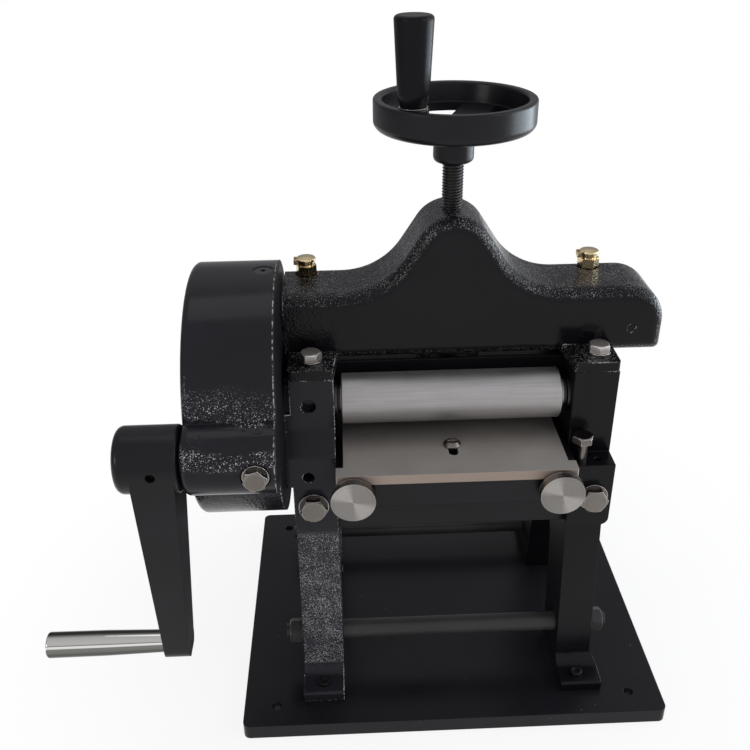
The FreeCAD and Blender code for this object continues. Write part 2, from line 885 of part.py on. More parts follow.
def gear_end_screw():
    seat = gear_left - end_washer_thick
    shank = rod_x(seat, gear_left + end_screw_reach - 1, roller_y, roller_z, end_screw_r)
    head = rod_x(seat - end_screw_head_h, seat, roller_y, roller_z, end_screw_head_r)
    socket = prism("yz", hexagon("yz", roller_y, roller_z, end_screw_head_r), seat - end_screw_head_h,
        seat - 1.2)
    return joined(head, shank).cut(socket)


def table_bracket():
    bar = box(-frame_inner, frame_inner, bar_front, bar_rear, bar_bottom, table_bottom)
    shelf = box(-frame_inner, frame_inner, bar_rear, shelf_rear, table_bottom - shelf_thick, table_bottom)
    rib = box(-frame_inner, frame_inner, bar_rear, bar_rear + rib_depth, rib_bottom, table_bottom)
    body = joined(bar, shelf, rib)
    for sx in (-1, 1):
        near = sx * (frame_inner - bracket_screw_bite)
        body = body.cut(rod_x(near, sx * frame_inner, bracket_screw_y, bracket_screw_z, bracket_screw_r))
        body = body.cut(rod_y(bar_front - 1, bar_front + knob_screw_reach + 1, table_x + sx * knob_x,
            knob_z, knob_screw_r))
    hole = rod_z(table_bottom - shelf_thick - 1, table_bottom + 1, table_x, table_screw_y, table_screw_r)
    return body.cut(hole).removeSplitter()


def bracket_screws():
    screws = []
    for sx in (-1, 1):
        seat = sx * (frame_outer - bracket_head_h)
        head = rod_x(seat, sx * frame_outer, bracket_screw_y, bracket_screw_z, bracket_head_r)
        shank = rod_x(sx * (frame_inner - bracket_screw_bite + 1), seat, bracket_screw_y, bracket_screw_z,
                      bracket_screw_r)
        key = prism("yz", hexagon("yz", bracket_screw_y, bracket_screw_z, bracket_head_r),
                    *sorted((sx * (frame_outer - bracket_head_h / 2), sx * (frame_outer + 1))))
        screws.append(joined(head, shank).cut(key))
    return screws


def table_plate():
    w, n = table_half, table_narrow_half
    flat = prism("xy", [
        (-w, table_front, 1), (w, table_front, 1), (w, table_step), (n, table_step), (n, table_rear),
        (-n, table_rear), (-n, table_step), (-w, table_step)], table_bottom, table_z)
    bevel = prism("yz", [
        (table_rear + 1, table_bottom - 1), (table_rear - table_bevel, table_bottom - 1),
        (table_rear - table_bevel, table_bottom), (table_rear, table_z - 0.6), (table_rear + 1,
            table_z - 0.6)],
        -w - 1, w + 1)
    slot = prism("xy", [
        (-slot_half, slot_front, slot_half - 0.01), (slot_half, slot_front, slot_half - 0.01),
        (slot_half, slot_rear(), slot_half - 0.01), (-slot_half, slot_rear(), slot_half - 0.01)],
        table_bottom - 1, table_z + 1)
    plate = minus(flat, bevel, slot)
    plate.translate(FreeCAD.Vector(table_x, 0, 0))
    return plate


def slot_rear():
    return table_screw_y + slot_half + 0.4


def table_screw():
    profile = [
        (0, table_bottom - shelf_thick), (table_screw_r, table_bottom - shelf_thick), (table_screw_r,
            table_z + slide_fit),
        (table_screw_head_r, table_z + slide_fit), (table_screw_head_r, table_z + slide_fit + 1.2, 1),
        (table_screw_head_r * 0.6, table_z + table_screw_head_h, 1), (0, table_z + table_screw_head_h)]
    screw = turned_z(profile, table_x, table_screw_y)
    top = table_z + table_screw_head_h
    reach = table_screw_head_r * 0.5
    cross = box(table_x - reach, table_x + reach, table_screw_y - 0.5, table_screw_y + 0.5, top - 1.6,
        top + 1)
    other = box(table_x - 0.5, table_x + 0.5, table_screw_y - reach, table_screw_y + reach, top - 1.6,
        top + 1)
    return minus(screw, cross, other)


def knurled(y0, y1, x, z, r):
    rim = rod_y(y0, y1, x, z, r)
    grooves = []
    for i in range(knob_knurls):
        a = 2 * math.pi * i / knob_knurls
        grooves.append(rod_y(y0 + 0.8, y1 - 0.8, x + r * math.cos(a), z + r * math.sin(a), knurl_depth))
    return rim.cut(Part.makeCompound(grooves))


def thumb_screw(sign):
    back = table_front - knob_gap
    front = back - knob_thick
    x = table_x + sign * knob_x
    knob = knurled(front, back, x, knob_z, knob_r)
    neck = rod_y(back, bar_front - slide_fit, x, knob_z, knob_neck_r)
    shank = rod_y(bar_front - slide_fit, bar_front + knob_screw_reach, x, knob_z, knob_screw_r - run_fit)
    return joined(knob, neck, shank)


def blade_carriage():
    top = carriage_bottom + carriage_height
    half = frame_inner - slide_fit
    corner = 4.0
    body = prism("yz", [
        (carriage_front + corner, carriage_bottom), (carriage_rear, carriage_bottom), (carriage_rear, top),
        (carriage_front, top), (carriage_front, carriage_bottom + corner)], -half, half)
    reach = frame_inner + tongue_depth - slide_fit
    tongue = box(-reach, reach, screw_y - tongue_half, screw_y + tongue_half, carriage_bottom, top)
    lip = box(-half, half, carriage_front, carriage_front + carriage_lip_thick, top - 1, carriage_lip_z)
    body = joined(body, tongue, lip)
    pocket = screw_collar_h + 2 * end_play
    body = body.cut(rod_z(top - pocket, top + 1, screw_x, screw_y, screw_collar_r + slide_fit))
    for x in blade_screw_places():
        body = body.cut(rod_z(carriage_bottom - 1, carriage_bottom + blade_screw_bite, x, blade_screw_y,
            blade_screw_r))
    for x, y in retainer_places():
        body = body.cut(rod_z(top - 8, top + 1, x, y, retainer_screw_r))
    return body


def retainer_places():
    return [
        (screw_x + sx * retainer_screw_x, screw_y + sy * retainer_screw_y) for sx in (-1,
            1) for sy in (-1, 1)]


def screw_retainer():
    low = carriage_bottom + carriage_height
    left_x, right_x = screw_x - retainer_half_x, screw_x + retainer_half_x
    front_y, rear_y = screw_y - retainer_half_y, screw_y + retainer_half_y
    plate = box(left_x, right_x, front_y, rear_y, low, low + retainer_thick)
    plate = plate.cut(rod_z(low - 1, low + retainer_thick + 1, screw_x, screw_y, screw_r + slide_fit))
    for x, y in retainer_places():
        plate = plate.cut(rod_z(low - 1, low + retainer_thick + 1, x, y, retainer_screw_r))
    split = slide_fit / 2
    high = low + retainer_thick + 1
    left = plate.cut(box(screw_x - split, right_x + 1, front_y - 1, rear_y + 1, low - 1, high))
    right = plate.cut(box(left_x - 1, screw_x + split, front_y - 1, rear_y + 1, low - 1, high))
    return [left, right]


def retainer_screws():
    low = carriage_bottom + carriage_height
    screws = []
    for x, y in retainer_places():
        head = rod_z(low + retainer_thick, low + retainer_thick + retainer_head_h, x, y, retainer_head_r)
        screws.append(joined(head, rod_z(low - 7.5, low + retainer_thick, x, y, retainer_screw_r)))
    return screws


def blade_screw_places():
    step = blade_screw_span / (blade_screw_count - 1)
    return [-blade_screw_span / 2 + step * i for i in range(blade_screw_count)]


def splitting_blade():
    low, high = carriage_bottom - blade_thick, carriage_bottom
    body = prism("yz", [
        (blade_edge_y, low), (blade_rear_y, low), (blade_rear_y, high), (blade_edge_y + blade_bevel, high),
        (blade_edge_y, low + blade_edge_thick)], -blade_half, blade_half)
    for x in blade_screw_places():
        body = body.cut(rod_z(low - 1, high + 1, x, blade_screw_y, blade_screw_r))
    return body


def blade_clamp():
    high = carriage_bottom - blade_thick
    body = box(-blade_half, blade_half, clamp_front, clamp_rear, high - clamp_thick, high)
    for x in blade_screw_places():
        body = body.cut(rod_z(high - clamp_thick - 1, high + 1, x, blade_screw_y, blade_screw_r))
    return body


def blade_screws():
    seat = carriage_bottom - blade_thick - clamp_thick
    screws = []
    for x in blade_screw_places():
        head = rod_z(seat - blade_screw_head_h, seat, x, blade_screw_y, blade_screw_head_r)
        shank = rod_z(seat, carriage_bottom + blade_screw_bite - 1, x, blade_screw_y, blade_screw_r)
        key = prism("xy", hexagon("xy", x, blade_screw_y, blade_screw_head_r), seat - blade_screw_head_h,
            seat - 1.2)
        screws.append(joined(head, shank).cut(key))
    return screws


def adjusting_screw():
    # The thread is drawn as rings at its real pitch, between the bridge and the wheel.
    top = hub_bottom_z + hub_height
    collar_low = carriage_bottom + carriage_height - screw_collar_h - end_play
    thread_low = bridge_peak_z - 6
    rings = int((hub_bottom_z - thread_low) / screw_pitch)
    core = screw_r - thread_depth
    profile = [(0, collar_low), (screw_collar_r, collar_low), (screw_collar_r, collar_low + screw_collar_h),
               (screw_r, collar_low + screw_collar_h), (screw_r, thread_low)]
    for i in range(rings):
        z = thread_low + i * screw_pitch
        profile.append((core, z + screw_pitch / 2))
        profile.append((screw_r, z + screw_pitch))
    profile += [(screw_r, top), (0, top)]
    screw = turned_z(profile, screw_x, screw_y)
    return screw.cut(wheel_pin())


def wheel_pin():
    return rod_x(screw_x - hub_r + 1, screw_x + hub_r - 1, screw_y, wheel_pin_z, wheel_pin_r)


def screw_cap():
    low = hub_bottom_z + hub_height
    return hex_head("xy", screw_x, screw_y, screw_cap_r * 2, low, low + screw_cap_h + 2, 12)


def handwheel():
    inner = wheel_r - rim_width
    rim = turned_z([
        (inner, wheel_top_z, 2), (wheel_r, wheel_top_z, rim_round), (wheel_r, rim_bottom_z, skirt_round),
        (wheel_r - skirt_round - 0.3, rim_bottom_z), (rim_inner_r, rim_inner_z)], screw_x, screw_y)
    web = turned_z([
        (hub_r - 1, web_z), (rim_inner_r + 1, rim_inner_z - web_thick + 2), (rim_inner_r + 1,
            rim_inner_z + 2),
        (hub_r - 1, web_z + web_thick)], screw_x, screw_y)
    hub = turned_z([
        (0, hub_bottom_z), (hub_r, hub_bottom_z, 3), (hub_r, hub_bottom_z + hub_height, 2),
        (0, hub_bottom_z + hub_height)], screw_x, screw_y)
    spokes = web.cut(Part.makeCompound(wheel_windows()))
    wheel = joined(rim, hub, spokes, rod_z(handle_pad_low_z, handle_pad_z, handle_x, handle_y,
        handle_pad_r))
    return minus(
        wheel,
        rod_z(hub_bottom_z - 1, hub_bottom_z + hub_height + 1, screw_x, screw_y, screw_r),
        rod_x(screw_x - hub_r - 1, screw_x + hub_r + 1, screw_y, wheel_pin_z, wheel_pin_r),
        rod_z(handle_pad_low_z - 1, handle_pad_z + 1, handle_x, handle_y, spindle_r))


def wheel_windows():
    ring = rod_z(web_z - 9, wheel_top_z, screw_x, screw_y, rim_inner_r)
    ring = ring.cut(rod_z(web_z - 10, wheel_top_z + 1, screw_x, screw_y, window_inner_r))
    for angle in spoke_angles:
        spoke = box(0, wheel_r, -spoke_width / 2, spoke_width / 2, web_z - 11, wheel_top_z + 2)
        spoke.rotate(FreeCAD.Vector(0, 0, 0), FreeCAD.Vector(0, 0, 1), angle)
        spoke.translate(FreeCAD.Vector(screw_x, screw_y, 0))
        ring = ring.cut(spoke)
    return ring.Solids


def handle_spindle():
    head_z = handle_top_z - 6 - spindle_head_h
    shank = rod_z(handle_pad_low_z, head_z, handle_x, handle_y, spindle_r)
    collar = rod_z(handle_pad_z, handle_pad_z + handle_collar_h - slide_fit, handle_x, handle_y,
        handle_collar_r)
    head = rod_z(head_z, head_z + spindle_head_h, handle_x, handle_y, spindle_head_r)
    return joined(shank, collar, head)


def wheel_handle():
    foot = handle_pad_z + handle_collar_h
    body = turned_z([
        (0, foot), (handle_foot_r, foot), (handle_knee_r, foot + handle_knee_h, 9),
        (handle_top_r, handle_top_z, 2.5), (0, handle_top_z)], handle_x, handle_y)
    head_z = handle_top_z - 6 - spindle_head_h
    bore = rod_z(foot - 1, head_z + 1, handle_x, handle_y, spindle_r + run_fit)
    pocket = rod_z(head_z - slide_fit, head_z + spindle_head_h + slide_fit, handle_x, handle_y,
                   spindle_head_r + run_fit)
    return minus(body, bore, pocket)


def turned_cup(shape, x):
    # The lids' hinges are on the left of the cups.
    shape.rotate(FreeCAD.Vector(x, cup_y, 0), FreeCAD.Vector(0, 0, 1), cup_turn)
    return shape


def oil_cup(sign):
    x, low = cup_shift + sign * cup_x, bridge_flat_z - 1.5
    nut = prism("xy", hexagon("xy", x, cup_y, cup_flats, 15), low, low + cup_hex_h)
    neck = rod_z(low + cup_hex_h, low + cup_hex_h + cup_body_h, x, cup_y, cup_body_r)
    stem = rod_z(bridge_flat_z - cup_stem, low, x, cup_y, cup_stem_r)
    ear_z = cup_hinge_z()
    ear = box(x - sign * 1.6, x + sign * 1.6, cup_y + cup_body_r - 1.5, cup_y + lid_pin_out,
        low + cup_hex_h, ear_z)
    bore = rod_z(bridge_flat_z - cup_stem - 1, low + cup_hex_h + cup_body_h + 1, x, cup_y, cup_bore_r)
    gap = rod_x(x - 4, x + 4, cup_y + lid_pin_out - lid_pin_r, ear_z, lid_pin_r + seat_fit)
    return turned_cup(minus(joined(nut, neck, stem, ear), bore, gap), x)


def cup_hinge_z():
    return bridge_flat_z - 1.5 + cup_hex_h + cup_body_h - lid_pin_r


def cup_lid(sign):
    x = cup_shift + sign * cup_x
    low = bridge_flat_z - 1.5 + cup_hex_h + cup_body_h + seat_fit
    dome = turned_z([(0, low), (cup_lid_r, low, 0.3), (cup_lid_r, low + cup_lid_h * 0.7, 1), (1.5,
        low + cup_lid_h),
                     (0, low + cup_lid_h)], x, cup_y)
    pin_y = cup_y + lid_pin_out - lid_pin_r
    pin = rod_x(x - 3.4, x + 3.4, pin_y, cup_hinge_z(), lid_pin_r)
    arms = []
    for side in (-1, 1):
        inner, outer = x + side * 2.0, x + side * 3.4
        arms.append(box(inner, outer, cup_y + 2.5, pin_y + lid_pin_r, low, low + 1.2))
        arms.append(box(inner, outer, cup_y + cup_body_r + 0.3, pin_y + lid_pin_r,
            cup_hinge_z() - lid_pin_r, low + 1.2))
    return turned_cup(joined(dome, pin, *arms), x)


def case_plan(shrink, low, high):
    drum = rod_x(low, high, drum_y, drum_z, drum_r - drum_shell - shrink)
    nose = rod_x(low, high, crank_y, crank_z, nose_r - nose_shell - shrink)
    return joined(drum, nose)


def gear_case_back():
    plate = case_plan(seat_fit, case_inner, case_right)
    for y, z in case_screw_places:
        plate = plate.fuse(rod_x(case_right, -frame_outer, y, z, case_foot_r).cut(case_pad_room()))
    plate = plate.fuse(rod_x(case_right, -frame_outer, roller_y, roller_z,
        shaft_boss_r).cut(case_pad_room()))
    cuts = [
        rod_x(case_inner - 1, -frame_outer + 1, roller_y, roller_z, journal_r + slide_fit),
        rod_x(case_inner - 1, case_right - blind_bore_floor, crank_y, crank_z, crank_bush_r),
        rod_y(crank_y - nose_r, crank_y - nose_r + nose_shell + nose_bolt_reach, nose_bolt_x, crank_z,
            m8_r)]
    for y, z in case_screw_places:
        cuts.append(rod_x(case_inner - 1, -frame_outer + 1, y, z, case_screw_r))
        cuts.append(rod_x(case_inner - 1, case_inner + case_screw_head_h, y, z,
            case_screw_head_r + slide_fit))
    cuts += [screw for screw in rim_screw_shanks(0.0)]
    return minus(plate, *cuts)


def case_pad_room():
    return box(case_right - 1, -frame_outer + 1, boss_front - 1, head_rear + 1, pad_low_z - 1,
        pad_high_z + seat_fit)


def case_screws():
    screws = []
    for y, z in case_screw_places:
        seat = case_inner + case_screw_head_h
        head = rod_x(case_inner + 0.3, seat, y, z, case_screw_head_r)
        shank = rod_x(seat, -frame_outer + case_screw_bite - 1, y, z, case_screw_r)
        key = prism("yz", hexagon("yz", y, z, case_screw_head_r), case_inner - 1,
            case_inner + case_screw_head_h / 2)
        screws.append(joined(head, shank).cut(key))
    return screws


def rim_screw_shanks(extra):
    inner = drum_r - rim_screw_reach
    outer = drum_r + extra
    x, r = rim_screw_x, rim_screw_r
    return [
        rod_z(drum_z + inner, drum_z + outer, x, drum_y, r),
        rod_z(drum_z - outer, drum_z - inner, x, drum_y, r),
        rod_y(drum_y + inner, drum_y + outer, x, drum_z, r)]


def cover_screws():
    # Countersunk screws set in from the rim: top, bottom and rear.
    screws = []
    x, flush = rim_screw_x, drum_r - 0.6
    axes = (FreeCAD.Vector(0, 0, 1), FreeCAD.Vector(0, 0, -1), FreeCAD.Vector(0, 1, 0))
    for axis in axes:
        centre = FreeCAD.Vector(x, drum_y, drum_z)
        shank = Part.makeCylinder(rim_screw_r, rim_screw_reach - 0.6 - rim_screw_head_r + rim_screw_r,
            centre + axis * (drum_r - rim_screw_reach), axis)
        sink = rim_screw_head_r - rim_screw_r
        head = Part.makeCone(rim_screw_r, rim_screw_head_r, sink, centre + axis * (flush - sink), axis)
        key = Part.makeCylinder(1.6, 1.8, centre + axis * (flush - 1.8), axis)
        screws.append(joined(shank, head).cut(key))
    return screws


def cover_screw_seats():
    seats = []
    x = rim_screw_x
    for axis in (FreeCAD.Vector(0, 0, 1), FreeCAD.Vector(0, 0, -1), FreeCAD.Vector(0, 1, 0)):
        centre = FreeCAD.Vector(x, drum_y, drum_z)
        flush = drum_r - 0.6
        sink = rim_screw_head_r - rim_screw_r
        seats.append(Part.makeCylinder(rim_screw_r, rim_screw_reach,
            centre + axis * (flush - rim_screw_reach), axis))
        seats.append(Part.makeCone(rim_screw_r, rim_screw_head_r, sink, centre + axis * (flush - sink),
            axis))
        seats.append(Part.makeCylinder(rim_screw_head_r, 3, centre + axis * flush, axis))
    return seats


def gear_cover():
    drum = turned_x([(case_left, 0), (case_left, drum_r, case_round), (case_right, drum_r), (case_right,
        0)],
                    drum_y, drum_z)
    nose = turned_x([(case_left, 0), (case_left, nose_r, case_round), (case_right, nose_r), (case_right,
        0)],
                    crank_y, crank_z)
    hollow = case_plan(0.0, case_wall_x, case_right + 1)
    bore = rod_x(case_left - 1, case_wall_x + 1, crank_y, crank_z, crank_bush_r)
    bolt = rod_y(crank_y - nose_r - 1, crank_y, nose_bolt_x, crank_z, m8_r)
    flat = rod_y(crank_y - nose_r - 5, crank_y - nose_seat(), nose_bolt_x, crank_z, m8_washer_r + 1)
    return minus(joined(drum, nose), hollow, bore, bolt, flat, *cover_screw_seats())


def nose_seat():
    # The washer sits on a spot face, this far in front of the crank's axis.
    return nose_r - 1.6


def cover_bolt():
    seat = crank_y - nose_seat() - washer_thick
    head = hex_head("xz", nose_bolt_x, crank_z, m8_flats, seat - m8_head, seat, 14, False)
    end = crank_y - nose_r + nose_shell + nose_bolt_reach - 1
    return joined(head, rod_y(seat, end, nose_bolt_x, crank_z, m8_r))


def cover_washer():
    seat = crank_y - nose_seat()
    ring = rod_y(seat - washer_thick, seat, nose_bolt_x, crank_z, m8_washer_r)
    return ring.cut(rod_y(seat - 5, seat + 1, nose_bolt_x, crank_z, m8_r))


def crank_bushes():
    bore = rod_x(case_left - 20, case_right + 1, crank_y, crank_z, crank_shaft_r + run_fit)
    outer = joined(
        rod_x(case_left, case_wall_x, crank_y, crank_z, crank_bush_r),
        rod_x(case_left - crank_flange, case_left, crank_y, crank_z, crank_flange_r))
    inner = rod_x(case_inner, case_right - blind_bore_floor, crank_y, crank_z, crank_bush_r)
    return [outer.cut(bore), inner.cut(bore)]


def crank_shaft():
    left = hub_left + shaft_short
    right = case_right - blind_bore_floor - 1
    return rod_x(left, right, crank_y, crank_z, crank_shaft_r)


def crank_pinion():
    phase = mesh_angle() + math.pi
    teeth = gear_blank(pinion_teeth, tooth_shift, phase, crank_y, crank_z, gear_left - 1, gear_right + 1)
    hub = rod_x(case_wall_x + end_play, case_inner - end_play, crank_y, crank_z, pinion_hub_r)
    bore = rod_x(case_left, case_right, crank_y, crank_z, crank_shaft_r)
    return joined(teeth, hub).cut(bore)


def crank_arm():
    hub = turned_x([
        (hub_left, 0), (hub_left, crank_hub_r, crank_hub_round), (hub_right, crank_hub_r, 2), (hub_right,
            0)],
        crank_y, crank_z)
    side = prism("xz", [
        (arm_left, crank_z), (arm_tip_left, grip_z + arm_end_r), (arm_tip_left, grip_z - arm_end_r, 3),
        (arm_tip_left + arm_end_thick, grip_z - arm_end_r, 3), (arm_tip_left + arm_end_thick, grip_z),
        (arm_left + arm_top_thick, crank_z)],
        crank_y - crank_hub_r - 1, crank_y + crank_hub_r + 1)
    arm = side.common(arm_plan())
    arm = joined(hub, arm)
    screw_x = (hub_left + hub_right) / 2.0 + set_screw_offset
    return minus(
        arm,
        rod_x(hub_left - 1, hub_right + 1, crank_y, crank_z, crank_shaft_r),
        rod_y(crank_y - crank_hub_r - 1, crank_y - crank_shaft_r, screw_x, crank_z, set_screw_r),
        rod_x(arm_tip_left - 1, arm_tip_left + arm_end_thick - 4, crank_y, grip_z, grip_bore_r))


def arm_plan():
    # Two discs and the straight sides that touch both, seen along the crank's axis.
    length = crank_radius
    turn = math.asin((crank_hub_r - arm_end_r) / length)
    side = crank_hub_r * math.cos(turn), crank_hub_r * math.sin(turn)
    tip = arm_end_r * math.cos(turn), arm_end_r * math.sin(turn)
    points = [
        (crank_y - side[0], crank_z - side[1]), (crank_y - tip[0], grip_z - tip[1]),
        (crank_y + tip[0], grip_z - tip[1]), (crank_y + side[0], crank_z - side[1])]
    low, high = hub_left, hub_right + 5
    return joined(
        prism("yz", points, low, high),
        rod_x(low, high, crank_y, crank_z, crank_hub_r),
        rod_x(low, high, crank_y, grip_z, arm_end_r))


def crank_set_screw():
    screw_x = (hub_left + hub_right) / 2.0 + set_screw_offset
    far = crank_y - crank_shaft_r
    screw = rod_y(far - set_screw_depth, far, screw_x, crank_z, set_screw_r)
    key = prism("xz", hexagon("xz", screw_x, crank_z, set_screw_r), far - set_screw_depth - 1,
                far - set_screw_depth + 3)
    return screw.cut(key)


def grip_spindle():
    head = rod_x(grip_left + 1, grip_left + 1 + grip_head_h, crank_y, grip_z, grip_head_r)
    shank = rod_x(grip_left + 1 + grip_head_h, arm_tip_left + arm_end_thick - 5, crank_y, grip_z,
        grip_bore_r)
    slot = box(grip_left, grip_left + 2.2, crank_y - 0.6, crank_y + 0.6, grip_z - 9, grip_z + 9)
    return joined(head, shank).cut(slot)


def crank_grip():
    middle = (grip_left + grip_right) / 2.0
    body = turned_x([
        (grip_left, 0), (grip_left, grip_outer_r, 1.5), (middle, (grip_outer_r + grip_inner_r) / 2 + 0.4,
            60),
        (grip_right, grip_inner_r, 1), (grip_right, 0)], crank_y, grip_z)
    bore = rod_x(grip_left - 1, grip_right + 1, crank_y, grip_z, grip_bore_r + run_fit * 2)
    pocket = rod_x(grip_left - 1, grip_left + 1 + grip_head_h + slide_fit, crank_y, grip_z,
        grip_head_r + slide_fit)
    return minus(body, bore, pocket)


def main():
    os.makedirs("parts", exist_ok=True)
    save("base_plate", base_plate())
    save("foot_screws", *foot_screws())
    save("left_side_frame", side_frame(-1))
    save("right_side_frame", side_frame(1))
    save("front_tie_rod", tie_rod(front_rod_y, front_rod_z, front_rod_r))
    save("rear_tie_rod", tie_rod(rear_rod_y, rear_rod_z, rear_rod_r))
    save("tie_rod_nuts", *tie_rod_nuts())
    save("tie_rod_washers", *tie_rod_washers())
    save("bridge", bridge())
    save("screw_nut", screw_nut())
    save("bridge_bolts", *bridge_bolts())
    save("bridge_washers", *bridge_washers())
    save("front_bolts", *front_bolts())
    save("front_washers", *front_washers())
    save("ledge_bolt", ledge_bolt())
    save("upper_roller_bushes", *roller_bushes())
    save("upper_roller", upper_roller())
    save("roller_gear", roller_gear())
    save("roller_gear_key", gear_key_box())
    save("gear_end_washer", gear_end_washer())
    save("gear_end_screw", gear_end_screw())
    save("table_bracket", table_bracket())
    save("bracket_screws", *bracket_screws())
    save("table_plate", table_plate())
    save("table_screw", table_screw())
    save("left_thumb_screw", thumb_screw(-1))
    save("right_thumb_screw", thumb_screw(1))
    save("blade_carriage", blade_carriage())
    save("screw_retainer", *screw_retainer())
    save("retainer_screws", *retainer_screws())
    save("splitting_blade", splitting_blade())
    save("blade_clamp", blade_clamp())
    save("blade_screws", *blade_screws())
    save("adjusting_screw", adjusting_screw())
    save("wheel_pin", wheel_pin())
    save("screw_cap", screw_cap())
    save("handwheel", handwheel())
    save("handle_spindle", handle_spindle())
    save("wheel_handle", wheel_handle())
    save("left_oil_cup", oil_cup(-1))
    save("right_oil_cup", oil_cup(1))
    save("left_oil_lid", cup_lid(-1))
    save("right_oil_lid", cup_lid(1))
    save("gear_case_back", gear_case_back())
    save("case_screws", *case_screws())
    save("gear_cover", gear_cover())
    save("cover_screws", *cover_screws())
    save("cover_bolt", cover_bolt())
    save("cover_washer", cover_washer())
    save("crank_bushes", *crank_bushes())
    save("crank_shaft", crank_shaft())
    save("crank_pinion", crank_pinion())
    save("crank_arm", crank_arm())
    save("crank_set_screw", crank_set_screw())
    save("grip_spindle", grip_spindle())
    save("crank_grip", crank_grip())


main()
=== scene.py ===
import json
import math

import bmesh
import bpy
from mathutils import Matrix, Vector


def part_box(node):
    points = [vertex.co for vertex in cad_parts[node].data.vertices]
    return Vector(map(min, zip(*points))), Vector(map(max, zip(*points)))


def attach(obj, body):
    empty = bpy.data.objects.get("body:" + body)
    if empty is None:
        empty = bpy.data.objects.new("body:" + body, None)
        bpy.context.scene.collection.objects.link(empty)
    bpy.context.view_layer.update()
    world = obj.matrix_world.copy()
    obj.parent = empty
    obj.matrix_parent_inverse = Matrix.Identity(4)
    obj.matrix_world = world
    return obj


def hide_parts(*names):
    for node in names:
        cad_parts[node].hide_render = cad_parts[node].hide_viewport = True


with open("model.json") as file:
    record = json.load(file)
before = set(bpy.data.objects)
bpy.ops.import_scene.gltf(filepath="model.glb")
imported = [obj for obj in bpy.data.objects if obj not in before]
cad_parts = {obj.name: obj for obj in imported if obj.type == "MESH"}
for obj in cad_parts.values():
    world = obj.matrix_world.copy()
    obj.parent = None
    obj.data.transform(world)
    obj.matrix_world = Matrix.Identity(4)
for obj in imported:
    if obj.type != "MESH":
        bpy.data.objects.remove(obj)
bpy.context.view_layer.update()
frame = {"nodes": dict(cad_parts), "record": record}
nodes = frame["nodes"]
print("frame loaded:", len(nodes), "nodes")


# camera: the photograph's place, tilt and lens
cameraSetup = {
    "place": (-0.06995, -0.56448, 0.54869),
    "tilt": 29.31,  # degrees below the horizon
    "turn": 1.865,  # degrees to the right of +Y
    "roll": -0.833,
    "lens": 42.9,
    "sensor": 36.0,
}


def buildCamera():
    data = bpy.data.cameras.new("photoCamera")
    data.lens = cameraSetup["lens"]
    data.sensor_width = cameraSetup["sensor"]
    data.sensor_fit = "HORIZONTAL"
    data.clip_start = 0.02
    camera = bpy.data.objects.new("photoCamera", data)
    bpy.context.scene.collection.objects.link(camera)
    turn = Matrix.Rotation(math.radians(-cameraSetup["turn"]), 4, "Z")
    tilt = Matrix.Rotation(math.radians(90.0 - cameraSetup["tilt"]), 4, "X")
    roll = Matrix.Rotation(math.radians(cameraSetup["roll"]), 4, "Z")
    camera.matrix_world = Matrix.Translation(cameraSetup["place"]) @ turn @ tilt @ roll
    bpy.context.scene.camera = camera


# light: soft panels and a pale room, darker behind the machine
lightSetup = {
    "roomStrength": 0.75,
    "roomBack": (0.33, 0.33, 0.35, 1.0),
    "roomFront": (0.85, 0.83, 0.87, 1.0),
    "roomAbove": (0.66, 0.66, 0.69, 1.0),
    "roomRight": (0.95, 0.98, 1.0, 1.0),
    # where the room's tone changes along each part of the direction: to the right, to the back, upwards
    "changes": {"X": (0.30, 0.95), "Y": (-0.75, 0.25), "Z": (0.25, 0.75)},
    "panels": {
        # name: place, aimed at, width, height, watts, color
        "topPanel": ((-0.15, 0.30, 1.50), (0.0, 0.0, 0.25), 0.8, 0.5, 1.2, (1.0, 0.98, 0.96)),
        "leftPanel": ((-1.30, -0.95, 0.75), (-0.1, 0.0, 0.25), 0.3, 0.3, 3.2, (1.0, 0.97, 0.94)),
        "rightPanel": ((1.25, 0.05, 0.80), (0.05, 0.0, 0.32), 0.5, 0.9, 5.0, (0.84, 0.91, 1.0)),
        "rightLamp": ((1.10, -0.75, 0.95), (0.0, 0.0, 0.28), 0.25, 0.25, 2.6, (0.92, 0.96, 1.0)),
        "windowPanel": ((1.15, 0.25, 0.19), (0.05, 0.0, 0.36), 1.1, 0.34, 8.0, (0.80, 0.90, 1.0)),
    },
}
plainWhite = (1.0, 1.0, 1.0, 1.0)


def aimedAt(place, target):
    direction = Vector(target) - Vector(place)
    return direction.to_track_quat("-Z", "Y").to_matrix().to_4x4()


def buildLights():
    for name, (place, target, width, height, watts, color) in lightSetup["panels"].items():
        data = bpy.data.lights.new(name, "AREA")
        data.shape = "RECTANGLE"
        data.size = width
        data.size_y = height
        data.energy = watts
        data.color = color
        panel = bpy.data.objects.new(name, data)
        bpy.context.scene.collection.objects.link(panel)
        panel.matrix_world = Matrix.Translation(place) @ aimedAt(place, target)


def addNode(tree, kind, place=(0, 0), **values):
    node = tree.nodes.new(kind)
    node.location = place
    for key, value in values.items():
        setattr(node, key, value)
    return node


def feed(tree, socket, value):
    # the value is another node's output, or a plain number, vector or color
    if isinstance(value, bpy.types.NodeSocket):
        tree.links.new(value, socket)
    else:
        socket.default_value = value


def setInputs(tree, node, values):
    for key, value in values.items():
        feed(tree, node.inputs[key], value)


def mathOf(tree, operation, first, second=None, place=(0, 0), third=None, clamp=False):
    node = addNode(tree, "ShaderNodeMath", place, operation=operation, use_clamp=clamp)
    for socket, value in zip(node.inputs, (first, second, third)):
        if value is not None:
            feed(tree, socket, value)
    return node.outputs["Value"]


def vectorOf(tree, operation, first, second=None, place=(0, 0), third=None, result="Vector"):
    node = addNode(tree, "ShaderNodeVectorMath", place, operation=operation)
    for socket, value in zip(node.inputs, (first, second, third)):
        if value is not None:
            feed(tree, socket, value)
    return node.outputs[result]


